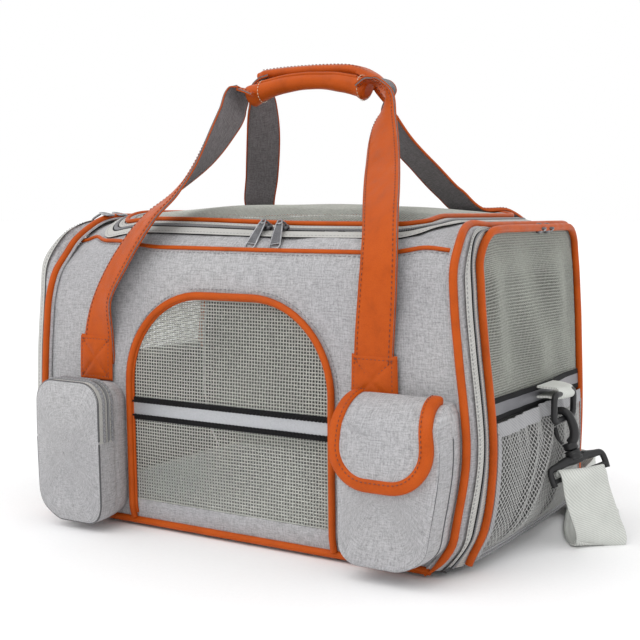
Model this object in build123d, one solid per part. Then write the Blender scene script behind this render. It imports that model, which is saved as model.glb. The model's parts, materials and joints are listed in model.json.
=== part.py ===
from build123d import *
import math
import os

# Soft-sided pet carrier bag. Millimetres, +Z up, +X to the bag's right end, front at -Y.
# The origin is on the floor at the centre of the base.

# Driving dimensions of the bag's body
BODY_HALF_X = 196.0        # front, back, top and base panels
BAND_OUTER_X = 203.7       # outer face of the zipper band at each end
DOOR_INNER_X = 204.0       # inner face of an end door
DOOR_OUTER_X = 208.0       # outer face of an end door
HALF_Y = 142.0             # outer faces of the front and back panels
HEIGHT = 266.0             # top of the body, without the top door
TOP_RADIUS = 50.0          # rounding of the long top edges
WALL = 4.0                 # quilted fabric with foam
GAP = 0.3                  # clearance between bodies that move apart

# Arch window in the front panel
ARCH_HALF_X = 98.0
ARCH_TOP = 200.0
ARCH_BOTTOM = 24.0
ARCH_RADIUS = 73.0
WINDOW_STRIP_Z = (94.0, 113.0)

# Top door
TOP_DOOR_HALF_X = 150.0
TOP_DOOR_HALF_Y = 98.0
TOP_DOOR_CROWN = 6.5

# End doors
DOOR_HALF_Y = 103.0
DOOR_TOP = 251.0
DOOR_BOTTOM = 8.0
DOOR_CORNER = 28.0
DOOR_WINDOW_LOW = 129.0
DOOR_STRIP_LOW = 113.0
NET_X = 216.0              # outer face of the net pocket
NET_HALF_Y = 98.0
NET_WALL = 1.5
RING_X = 232.0             # plane of the strap ring
RING_Z = 113.5
RING_OUTSIDE = (50.0, 27.0)
RING_BAR = 4.0
TAB_HALF_Y = 19.0          # webbing loop that holds the ring
TAB_Z = (118.0, 130.0)
TAB_WALL = 2.0

# Base
BASE_CORNER = 38.0
MAT_SIZE = (380.0, 264.0, 13.0)

PIPING_R = 3.0             # thick leather piping
SEAM_PIPING_R = 1.5        # thin piping along the front and back top seams
SEAM_Z = 241.0

# Handles
HANDLE_X = 136.0           # centre of each handle patch
STRAP_WIDTH = 32.0
STRAP_THICK = 3.0
GRIP_HALF_X = 62.0
HANDLE_PIVOT_Z = 165.0     # top stitching of a handle patch
PATCH_LOW_Z = 130.0

# Shoulder strap
WEBBING = 45.0
WEBBING_THICK = 2.0

os.makedirs("parts", exist_ok=True)


def save(name, shape):
    """Write one sub-part to parts/NAME.step."""
    shape.label = name
    export_step(shape, f"parts/{name}.step")


def slab(x0, x1, y0, y1, z0, z1):
    """A box between two corners."""
    return Pos((x0 + x1) / 2, (y0 + y1) / 2, (z0 + z1) / 2) * Box(x1 - x0, y1 - y0, z1 - z0)


def both_ends(shape):
    """The shape and its mirror image at the left end."""
    return [shape, mirror(shape, Plane.YZ)]


def front_and_back(shape):
    """The shape and its mirror image on the back."""
    return [shape, mirror(shape, Plane.XZ)]


def group(shapes):
    """Several separate solids as one sub-part."""
    solids = []
    for shape in shapes:
        solids.extend(shape.solids())
    return Compound(children=solids)


def arched(half_y, z0, z1, radius, x0, x1):
    """A prism along X whose cross-section is a rectangle with two rounded top corners."""
    outline = Pos(0, (z0 + z1) / 2) * Rectangle(2 * half_y, z1 - z0)
    outline = fillet(outline.vertices().group_by(Axis.Y)[-1], radius)
    return extrude(Plane.YZ.offset(x0) * outline, amount=x1 - x0)


def tube(points, radii, radius):
    """A round cord along straight runs joined by tangent arcs."""
    path = FilletPolyline(*points, radius=radii)
    start = Plane(origin=path @ 0, z_dir=path % 0)
    return sweep(start * Circle(radius), path=path)


def ribbon(points, width, thick, wide_dir):
    """A flat strap along straight runs, its width along wide_dir."""
    pieces = []
    for i in range(len(points) - 1):
        a = Vector(*points[i])
        b = Vector(*points[i + 1])
        run = b - a
        along = run.normalized()
        across = Vector(*wide_dir)
        across = (across - along * across.dot(along)).normalized()
        plane = Plane(origin=(a + b) / 2, x_dir=across, z_dir=along)
        pieces.append(plane * Box(width, thick, run.length + (thick if i else 0)))
    strap = pieces[0]
    for piece in pieces[1:]:
        strap = strap + piece
    return strap


def arch_outline(half_x, z0, z1, radius, y0, y1):
    """A prism along Y with the window's arch outline."""
    outline = Pos(0, (z0 + z1) / 2) * Rectangle(2 * half_x, z1 - z0)
    outline = fillet(outline.vertices().group_by(Axis.Y)[-1], radius)
    return extrude(Plane.XZ.offset(-y1) * outline, amount=y1 - y0)


# ---------------------------------------------------------------- body of the bag

def make_shell():
    """Front, back and top panels, cut from one arched tunnel."""
    outer = arched(HALF_Y, 0, HEIGHT, TOP_RADIUS, -BODY_HALF_X, BODY_HALF_X)
    inner = arched(HALF_Y - WALL, 0, HEIGHT - WALL, TOP_RADIUS - WALL, -BODY_HALF_X, BODY_HALF_X)
    tunnel = outer - inner
    far = 2 * BODY_HALF_X
    walls = tunnel & slab(-far, far, -far, far, WALL, SEAM_Z)
    window = arch_outline(ARCH_HALF_X, ARCH_BOTTOM, ARCH_TOP, ARCH_RADIUS, -HALF_Y - 1, -HALF_Y + WALL + 1)
    save("front_panel", (walls & slab(-far, far, -far, 0, 0, far)) - window)
    save("back_panel", walls & slab(-far, far, 0, far, 0, far))
    opening = slab(-TOP_DOOR_HALF_X, TOP_DOOR_HALF_X, -TOP_DOOR_HALF_Y, TOP_DOOR_HALF_Y, SEAM_Z, far)
    save("top_frame", (tunnel & slab(-far, far, -far, far, SEAM_Z, far)) - opening)


def make_base():
    """Base panel on the floor, stiff board and padded mat."""
    base = extrude(RectangleRounded(2 * BAND_OUTER_X - 8, 2 * HALF_Y, BASE_CORNER), amount=WALL)
    save("base_panel", base)
    board = slab(-192, 192, -134, 134, WALL + 0.2, WALL + 4.2)
    save("base_board", board)
    length, depth, thick = MAT_SIZE
    mat = extrude(Pos(0, 0, WALL + 4.4) * RectangleRounded(length, depth, 25), amount=thick)
    save("padded_mat", fillet(mat.edges().filter_by(GeomType.LINE).group_by(Axis.Z)[-1], 5))


def make_end_bands():
    """Fabric band round each end opening, which carries the end zipper."""
    outer = arched(HALF_Y, WALL, HEIGHT, TOP_RADIUS, BODY_HALF_X, BAND_OUTER_X)
    opening = arched(DOOR_HALF_Y - 5, 14, DOOR_TOP - 5, DOOR_CORNER - 5, BODY_HALF_X - 1, BAND_OUTER_X + 1)
    save("end_bands", group(both_ends(outer - opening)))


def make_window():
    """Mesh, reflective strip and piping of the arch window."""
    mesh = arch_outline(ARCH_HALF_X, ARCH_BOTTOM, ARCH_TOP, ARCH_RADIUS, -HALF_Y + 1.5, -HALF_Y + 3)
    save("front_window_mesh", mesh)
    strip = slab(-ARCH_HALF_X, ARCH_HALF_X, -HALF_Y, -HALF_Y + 1.4, *WINDOW_STRIP_Z)
    save("front_reflective_strip", strip)
    y = -HALF_Y - PIPING_R - 0.1
    half = ARCH_HALF_X + 2
    top = ARCH_TOP + 2
    points = [(-half, y, 12), (-half, y, top), (half, y, top), (half, y, 12)]
    save("front_window_piping", tube(points, ARCH_RADIUS + 2, PIPING_R))


def make_body_piping():
    """Thick piping round both ends and along the base, thin piping along the top seams."""
    off = PIPING_R + GAP
    y = HALF_Y + off
    top = HEIGHT + off
    x = BODY_HALF_X + 2
    ring = tube([(x, -y, WALL), (x, -y, top), (x, y, top), (x, y, WALL)], TOP_RADIUS + off, PIPING_R)
    save("end_frame_piping", group(both_ends(ring)))
    run = 2 * (x - PIPING_R - 0.1)
    base = Pos(0, -y, 8) * Rot(0, 90, 0) * Cylinder(PIPING_R, run)
    save("base_piping", group(front_and_back(base)))
    centre_y = HALF_Y - TOP_RADIUS
    centre_z = HEIGHT - TOP_RADIUS
    slope = math.asin((SEAM_Z - centre_z) / TOP_RADIUS)
    reach = TOP_RADIUS + SEAM_PIPING_R + GAP
    seam_y = centre_y + reach * math.cos(slope)
    seam_z = centre_z + reach * math.sin(slope)
    seam = Pos(0, -seam_y, seam_z) * Rot(0, 90, 0) * Cylinder(SEAM_PIPING_R, 2 * BODY_HALF_X - 4)
    save("top_seam_piping", group(front_and_back(seam)))


# ---------------------------------------------------------------- zippers

TOP_TAPE_Z = HEIGHT + 0.3
TOP_COIL_Y = -108.0
TOP_COIL_X = 161.0
TOP_TAPE_OUTSIDE = (168.0, -113.0)     # half length, front edge
TOP_TAPE_INSIDE = (155.5, -103.5)
TOP_TAPE_BACK_Y = 92.0
END_TAPE_OUTSIDE = (132.0, 264.0)      # half depth, top
END_TAPE_CORNER = 46.0
TAPE_THICK = 0.8
END_COIL_Y = 121.0
END_COIL_Z = 260.5


def make_zipper_tapes():
    """Woven tapes: one U round the top door, one arch on each end band."""
    half_x, front = TOP_TAPE_OUTSIDE
    outer = slab(-half_x, half_x, front, TOP_TAPE_BACK_Y, TOP_TAPE_Z, TOP_TAPE_Z + TAPE_THICK)
    half_x, front = TOP_TAPE_INSIDE
    inner = slab(-half_x, half_x, front, TOP_TAPE_BACK_Y + 1, TOP_TAPE_Z - 1, TOP_TAPE_Z + 2)
    save("top_zipper_tape", outer - inner)
    x0 = BAND_OUTER_X + 0.1
    half_y, top = END_TAPE_OUTSIDE
    outline = arched(half_y, 12, top, END_TAPE_CORNER, x0, x0 + TAPE_THICK)
    opening = arched(DOOR_HALF_Y + 8, 11, DOOR_TOP + 7, DOOR_CORNER + 8, x0 - 1, x0 + 2)
    save("end_zipper_tapes", group(both_ends(outline - opening)))


def make_zipper_coils():
    """Closed coils on the tapes, and the pocket's coil."""
    z = TOP_TAPE_Z + 0.9 + 1.0
    points = [(-TOP_COIL_X, 90, z), (-TOP_COIL_X, TOP_COIL_Y, z), (TOP_COIL_X, TOP_COIL_Y, z), (TOP_COIL_X, 90, z)]
    top = tube(points, 20, 1.0)
    x = BAND_OUTER_X + 1.0 + 1.0
    points = [(x, -END_COIL_Y, 14), (x, -END_COIL_Y, END_COIL_Z), (x, END_COIL_Y, END_COIL_Z), (x, END_COIL_Y, 14)]
    save("zipper_coils", group([top] + both_ends(tube(points, 38, 1.0))))


SLIDER_GAP = 0.3


def top_slider(x):
    """Slider body above the front run of the top coil."""
    z = TOP_TAPE_Z + 0.9 + 2.0 + SLIDER_GAP
    body = slab(x - 6, x + 6, TOP_COIL_Y - 4, TOP_COIL_Y + 4, z, z + 3)
    bridge = slab(x - 4, x + 4, TOP_COIL_Y - 1.2, TOP_COIL_Y + 1.2, z + 3, z + 4.5)
    return body + bridge


def top_pull(x):
    """Long pull that leans over the rounded front edge."""
    top = Vector(x, TOP_COIL_Y - 5.0, 274.5)
    low = Vector(x, -142.5, 246.0)
    along = (low - top).normalized()
    plane = Plane(origin=(top + low) / 2, x_dir=(1, 0, 0), z_dir=along)
    return plane * Box(9, 1.6, (low - top).length)


def end_slider(y):
    """Slider and pull on the top run of an end zipper; the pull lies inwards over the top."""
    x = BAND_OUTER_X + 3.0 + SLIDER_GAP
    body = slab(x, x + 3.5, y - 6, y + 6, END_COIL_Z - 2.8, END_COIL_Z + 3.0)
    neck = slab(x + 1, x + 3.5, y - 4, y + 4, END_COIL_Z + 3.0, HEIGHT + 9.5)
    pull = slab(172, x + 3.5, y - 4, y + 4, HEIGHT + 7.5, HEIGHT + 9.5)
    return body + neck + pull


# ---------------------------------------------------------------- doors

def make_top_door():
    """Crowned mesh door on the top, edged with piping."""
    half_x = TOP_DOOR_HALF_X - 7
    half_y = TOP_DOOR_HALF_Y - 7
    z = HEIGHT + 0.6
    crown = z + TOP_DOOR_CROWN
    thick = 1.2
    upper = ThreePointArc((-half_y, z + thick), (0, crown + thick), (half_y, z + thick))
    lower = ThreePointArc((half_y, z), (0, crown), (-half_y, z))
    right = Line((half_y, z + thick), (half_y, z))
    left = Line((-half_y, z), (-half_y, z + thick))
    section = make_face([upper, right, lower, left])
    save("top_door_mesh", extrude(Plane.YZ.offset(-half_x) * section, amount=2 * half_x))
    r = 2.5
    z = HEIGHT + 0.3 + r
    px = TOP_DOOR_HALF_X + 1.5
    py = TOP_DOOR_HALF_Y + 1.5
    ring = Pos(0, 0, z) * (RectangleRounded(2 * (px + r), 2 * (py + r), 22) - RectangleRounded(2 * (px - r), 2 * (py - r), 17))
    piping = extrude(ring, amount=r, both=True)
    save("top_door_piping", fillet(piping.edges().group_by(Axis.Z)[-1], 1.5))


def make_end_door(side, name):
    """One end door: frame with a mesh window, strip, piping, net pocket and ring tab."""
    def flip(shape):
        return shape if side > 0 else mirror(shape, Plane.YZ)

    plate = arched(DOOR_HALF_Y, DOOR_BOTTOM, DOOR_TOP, DOOR_CORNER, DOOR_INNER_X, DOOR_OUTER_X)
    cut = arched(DOOR_HALF_Y - 6, DOOR_WINDOW_LOW, DOOR_TOP - 6, DOOR_CORNER - 6, DOOR_INNER_X - 1, DOOR_OUTER_X + 1)
    save(f"{name}_door_panel", flip(plate - cut))
    mesh = arched(DOOR_HALF_Y - 6, DOOR_WINDOW_LOW, DOOR_TOP - 6, DOOR_CORNER - 6, DOOR_INNER_X + 1.5, DOOR_INNER_X + 3)
    save(f"{name}_door_mesh", flip(mesh))
    strip = slab(DOOR_OUTER_X, DOOR_OUTER_X + 1, -DOOR_HALF_Y + 2, DOOR_HALF_Y - 2, DOOR_STRIP_LOW + 2, DOOR_WINDOW_LOW)
    save(f"{name}_door_strip", flip(strip))
    off = PIPING_R + 0.1
    y = DOOR_HALF_Y + off
    top = DOOR_TOP + off
    x = DOOR_OUTER_X - 1.0 + GAP
    points = [(x, -y, DOOR_BOTTOM + 1), (x, -y, top), (x, y, top), (x, y, DOOR_BOTTOM + 1)]
    save(f"{name}_door_piping", flip(tube(points, DOOR_CORNER + off, PIPING_R)))
    outer = slab(DOOR_OUTER_X, NET_X, -NET_HALF_Y, NET_HALF_Y, DOOR_BOTTOM + 2, DOOR_STRIP_LOW)
    half = NET_HALF_Y - NET_WALL
    low = DOOR_BOTTOM + 2 + NET_WALL
    hollow = slab(DOOR_OUTER_X - 1, NET_X - NET_WALL, -half, half, low, DOOR_STRIP_LOW + 1)
    save(f"{name}_net_pocket", flip(outer - hollow))
    fold = RING_X + 6
    low, high = TAB_Z
    loop = slab(DOOR_OUTER_X + 1, fold, -TAB_HALF_Y, TAB_HALF_Y, low, high)
    reach = TAB_HALF_Y + 1
    loop = loop - slab(DOOR_OUTER_X, fold - TAB_WALL, -reach, reach, low + TAB_WALL, high - TAB_WALL)
    save(f"{name}_ring_tab", flip(loop))
    wide, tall = RING_OUTSIDE
    outside = RectangleRounded(wide, tall, 7)
    inside = RectangleRounded(wide - 2 * RING_BAR, tall - 2 * RING_BAR, 3.5)
    frame = Pos(0, RING_Z) * (outside - inside)
    save(f"{name}_strap_ring", flip(extrude(Plane.YZ.offset(RING_X - RING_BAR / 2) * frame, amount=RING_BAR)))


# ---------------------------------------------------------------- pockets

LEFT_POCKET_X = (-176.0, -107.0)
POCKET_FRONT_Y = -185.0
LEFT_POCKET_Z = (12.0, 129.0)
ZIP_END_Z = 82.0
ZIP_Y = -163.0
POCKET_WALL = 2.5


def make_left_pocket():
    """Zipped box pocket: a tub with a rear rim, and a front cover that folds down."""
    x0, x1 = LEFT_POCKET_X
    z0, z1 = LEFT_POCKET_Z
    back = -HALF_Y - 0.1
    t = POCKET_WALL
    tub = slab(x0, x1, POCKET_FRONT_Y, back, z0, ZIP_END_Z)
    tub = fillet(tub.edges().filter_by(Axis.Y).group_by(Axis.Z)[0], 14)
    tub = tub - slab(x0 + t, x1 - t, POCKET_FRONT_Y + t, back - t, z0 + t + 3, ZIP_END_Z + 1)
    rim = slab(x0, x1, ZIP_Y, back, ZIP_END_Z, z1)
    rim = fillet(rim.edges().filter_by(Axis.Y).group_by(Axis.Z)[-1], 14)
    rim = rim - slab(x0 + t, x1 - t, ZIP_Y - 1, back - t, ZIP_END_Z - 1, z1 - t - 3)
    save("zip_pocket_body", tub + rim)
    cover = slab(x0, x1, POCKET_FRONT_Y, ZIP_Y - GAP, ZIP_END_Z + GAP, z1)
    cover = fillet(cover.edges().filter_by(Axis.Y).group_by(Axis.Z)[-1], 14)
    hollow = slab(x0 + t, x1 - t, POCKET_FRONT_Y + t, ZIP_Y + 1, ZIP_END_Z - 1, z1 - t - 3)
    save("zip_pocket_cover", cover - hollow)
    y = ZIP_Y - 1.0
    slider = slab(x0 - 3.5, x0 - 0.3, y - 3.5, y + 3.5, ZIP_END_Z + 2, ZIP_END_Z + 14)
    save("zip_pocket_slider", slider)


FLAP_POCKET_X = (131.0, 193.0)
FLAP_POCKET_Z = (13.0, 129.0)
FLAP_POCKET_FRONT_Y = -180.0
FLAP_X = (124.0, 203.0)
FLAP_TOP_Z = 137.0
FLAP_TIP_Z = 72.0
FLAP_HINGE_Y = -151.0


def make_flap_pocket():
    """Open box pocket with a leather-edged flap over it."""
    x0, x1 = FLAP_POCKET_X
    z0, z1 = FLAP_POCKET_Z
    back = -HALF_Y - 0.1
    t = POCKET_WALL
    tub = slab(x0, x1, FLAP_POCKET_FRONT_Y, back, z0, z1)
    tub = fillet(tub.edges().filter_by(Axis.Y).group_by(Axis.Z)[0], 14)
    tub = tub - slab(x0 + t, x1 - t, FLAP_POCKET_FRONT_Y + t, back - t, z0 + t + 3, z1 + 1)
    save("flap_pocket_body", tub)
    fx0, fx1 = FLAP_X
    y = FLAP_POCKET_FRONT_Y - GAP - 3
    roof = slab(fx0, fx1, y, FLAP_HINGE_Y, FLAP_TOP_Z - 3, FLAP_TOP_Z)
    outline = Pos((fx0 + fx1) / 2, (FLAP_TIP_Z + FLAP_TOP_Z) / 2) * Rectangle(fx1 - fx0, FLAP_TOP_Z - FLAP_TIP_Z)
    outline = fillet(outline.vertices().group_by(Axis.Y)[0], 22)
    front = extrude(Plane.XZ.offset(-(y + 3)) * outline, amount=3)
    save("pocket_flap", roof + front)
    inner = Pos((fx0 + fx1) / 2, (FLAP_TIP_Z + FLAP_TOP_Z) / 2 + 4) * Rectangle(fx1 - fx0 - 16, FLAP_TOP_Z - FLAP_TIP_Z - 8)
    inner = fillet(inner.vertices().group_by(Axis.Y)[0], 15)
    trim = extrude(Plane.XZ.offset(-y) * (outline - inner), amount=1.2)
    save("pocket_flap_trim", trim)


# ---------------------------------------------------------------- handles

FRONT_GRIP = (-13.0, 378.0)
BACK_GRIP = (16.0, 391.0)


def leg_points(side, y_sign, grip_y, grip_z):
    """Route of one handle leg, from the patch over the rounded edge up to the grip."""
    out = -y_sign * (HALF_Y + 5.5)
    return [
        (side * HANDLE_X, out, HANDLE_PIVOT_Z + 2),
        (side * HANDLE_X, out - y_sign * 1.5, 222),
        (side * 122, -y_sign * 135, 270),
        (side * 70, grip_y, grip_z),
    ]


def make_handle(name, y_sign, grip_y, grip_z):
    """Two legs of one handle with its grip, clear of the other handle."""
    width_dir = (1, 0, 0)
    legs = []
    for side in (-1, 1):
        legs.append(ribbon(leg_points(side, y_sign, grip_y, grip_z), STRAP_WIDTH, STRAP_THICK, width_dir))
    keep_out = slab(-GRIP_HALF_X, GRIP_HALF_X, grip_y - 20, grip_y + 20, grip_z - 25, grip_z + 25)
    save(f"{name}_handle_straps", group([leg - keep_out for leg in legs]))


def make_grips():
    """Rolled leather grip of the front handle and padded grip of the back handle."""
    y, z = FRONT_GRIP
    roll = Pos(0, y, z) * Rot(0, 90, 0) * Cylinder(12, 2 * GRIP_HALF_X - 0.4)
    save("front_handle_grip", fillet(roll.edges(), 3))
    y, z = BACK_GRIP
    pad = Pos(0, y, z) * Rot(0, 90, 0) * Cylinder(8, 2 * GRIP_HALF_X - 0.4)
    save("back_handle_grip", fillet(pad.edges(), 3))


def make_patches():
    """Box-stitched leather patches that sew the handle ends to the panels."""
    patches = []
    for side in (-1, 1):
        x = side * HANDLE_X
        patch = slab(x - 17, x + 17, -HALF_Y - 3.6, -HALF_Y - 0.1, PATCH_LOW_Z, HANDLE_PIVOT_Z - 1)
        patches.extend(front_and_back(patch))
    save("handle_patches", group(patches))


# ---------------------------------------------------------------- snap hooks and strap

def swivel_base():
    """T-bar that holds the webbing: barrel on top, two prongs and a crossbar below.

    Its own frame: barrel axis on Z, crossbar along X at z = 0."""
    bar = slab(-28, 28, -2, 2, -2, 2)
    legs = slab(-30, -26.5, -3, 3, -4, 12) + slab(26.5, 30, -3, 3, -4, 12)
    top = slab(-30, 30, -3, 3, 9, 12.5)
    barrel = Pos(0, 0, 16) * Cylinder(7.0, 8)
    return bar + legs + top + barrel


def hook_body():
    """Hook above the swivel: stem, shank, crown and nose round an open eye. Same frame as swivel_base."""
    stem = Pos(0, 0, 23.6) * Cylinder(6.0, 6.6)
    foot = slab(-5.5, 10, -3.5, 3.5, 26.4, 29)
    shank = slab(5, 10, -3.5, 3.5, 28, 52)
    crown = slab(-10, 10, -3.5, 3.5, 52, 57)
    nose = slab(-10, -6, -3.5, 3.5, 43, 52)
    return stem + foot + shank + crown + nose


def hook_gate():
    """Springy gate lever that closes the eye."""
    return slab(-8.6, -6.6, -2.2, 2.2, 27.2, 42.4)


STRAP_TURN = 57.8          # of the webbing's width from the X axis
HOOK_LEAN = -21.7
HOOK_ORIGIN = (250.0, 0.0, 57.0)


def right_hook_place(shape, turn):
    """Lean a hook part from the right ring outwards and turn it about its own axis."""
    return Pos(*HOOK_ORIGIN) * Rot(0, HOOK_LEAN, 0) * Rot(0, 0, turn) * shape


FAR_HOOK_ORIGIN = (70.0, 206.0, 7.3)


def far_hook_place(shape):
    """Lay a hook part flat on the floor behind the bag, its nose to the right."""
    return Pos(*FAR_HOOK_ORIGIN) * Rot(0, 90, 0) * Rot(0, 0, 90) * shape


def make_hooks():
    """The swivel, hook and gate at each end of the shoulder strap."""
    save("right_swivel_base", right_hook_place(swivel_base(), STRAP_TURN))
    save("right_snap_hook", right_hook_place(hook_body(), 0))
    save("right_hook_gate", right_hook_place(hook_gate(), 0))
    save("left_swivel_base", far_hook_place(swivel_base()))
    save("left_snap_hook", far_hook_place(hook_body()))
    save("left_hook_gate", far_hook_place(hook_gate()))


def upright_webbing(points, radii, low):
    """Webbing standing on its edge along a route on the floor."""
    path = FilletPolyline(*points, radius=radii)
    start = Plane(origin=path @ 0, z_dir=path % 0, x_dir=(0, 0, 1))
    return Pos(0, 0, low + WEBBING / 2) * sweep(start * Rectangle(WEBBING, WEBBING_THICK), path=path)


def make_shoulder_strap():
    """Drop from the right hook to the floor, then the spare length stored behind the bag."""
    turn = math.radians(STRAP_TURN)
    lean = math.radians(HOOK_LEAN)
    hx, hy, hz = HOOK_ORIGIN
    reach = -2.6
    top = (hx + reach * math.sin(lean), hy, hz + reach * math.cos(lean))
    drop = ribbon([top, (258, 6, 12), (260, 7, 3.5)], WEBBING, WEBBING_THICK, (math.cos(turn), math.sin(turn), 0))
    save("shoulder_strap_drop", drop)
    route = [
        (243, 24), (235, 84), (222, 140), (190, 167), (120, 170), (-20, 165), (-140, 169),
        (-163, 186), (-146, 206), (-60, 206.5), (-12, 206),
    ]
    path_radii = corner_radii(route)
    print("strap radii", [round(r, 1) for r in path_radii])
    upright = upright_webbing(route, path_radii, 0.3)
    fx, fy, fz = FAR_HOOK_ORIGIN
    half = WEBBING / 2
    flat = slab(-8, fx - 2.4, fy - half, fy + half, fz - WEBBING_THICK / 2, fz + WEBBING_THICK / 2)
    save("shoulder_strap_stored", group([upright, flat]))
    ax = -90
    ay = 206.3
    plate = slab(ax - 8, ax + 8, ay - 4, ay + 4, 0.1, 51)
    slot = slab(ax - 9, ax + 9, ay - 2.2, ay + 2.2, 0.25, 49)
    save("strap_adjuster", plate - slot)


def corner_radii(route):
    """Largest tidy radius at each corner of a route: 0.45 of the shorter run over tan of half the turn."""
    radii = []
    for before, corner, after in zip(route, route[1:], route[2:]):
        first = Vector(*corner) - Vector(*before)
        second = Vector(*after) - Vector(*corner)
        turn = math.radians(first.get_angle(second))
        radii.append(0.45 * min(first.length, second.length) / math.tan(turn / 2))
    return radii


make_shell()
make_base()
make_end_bands()
make_window()
make_body_piping()
make_zipper_tapes()
make_zipper_coils()
save("top_slider_left", top_slider(20))
save("top_slider_right", top_slider(36))
save("top_pull_left", top_pull(20))
save("top_pull_right", top_pull(36))
save("right_door_slider_front", end_slider(14))
save("right_door_slider_back", end_slider(32))
save("left_door_slider_front", mirror(end_slider(-62), Plane.YZ))
save("left_door_slider_back", mirror(end_slider(-44), Plane.YZ))
make_top_door()
make_end_door(1, "right")
make_end_door(-1, "left")
make_left_pocket()
make_flap_pocket()
make_handle("front", 1, *FRONT_GRIP)
make_handle("back", -1, *BACK_GRIP)
make_grips()
make_patches()
make_hooks()
make_shoulder_strap()
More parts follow.
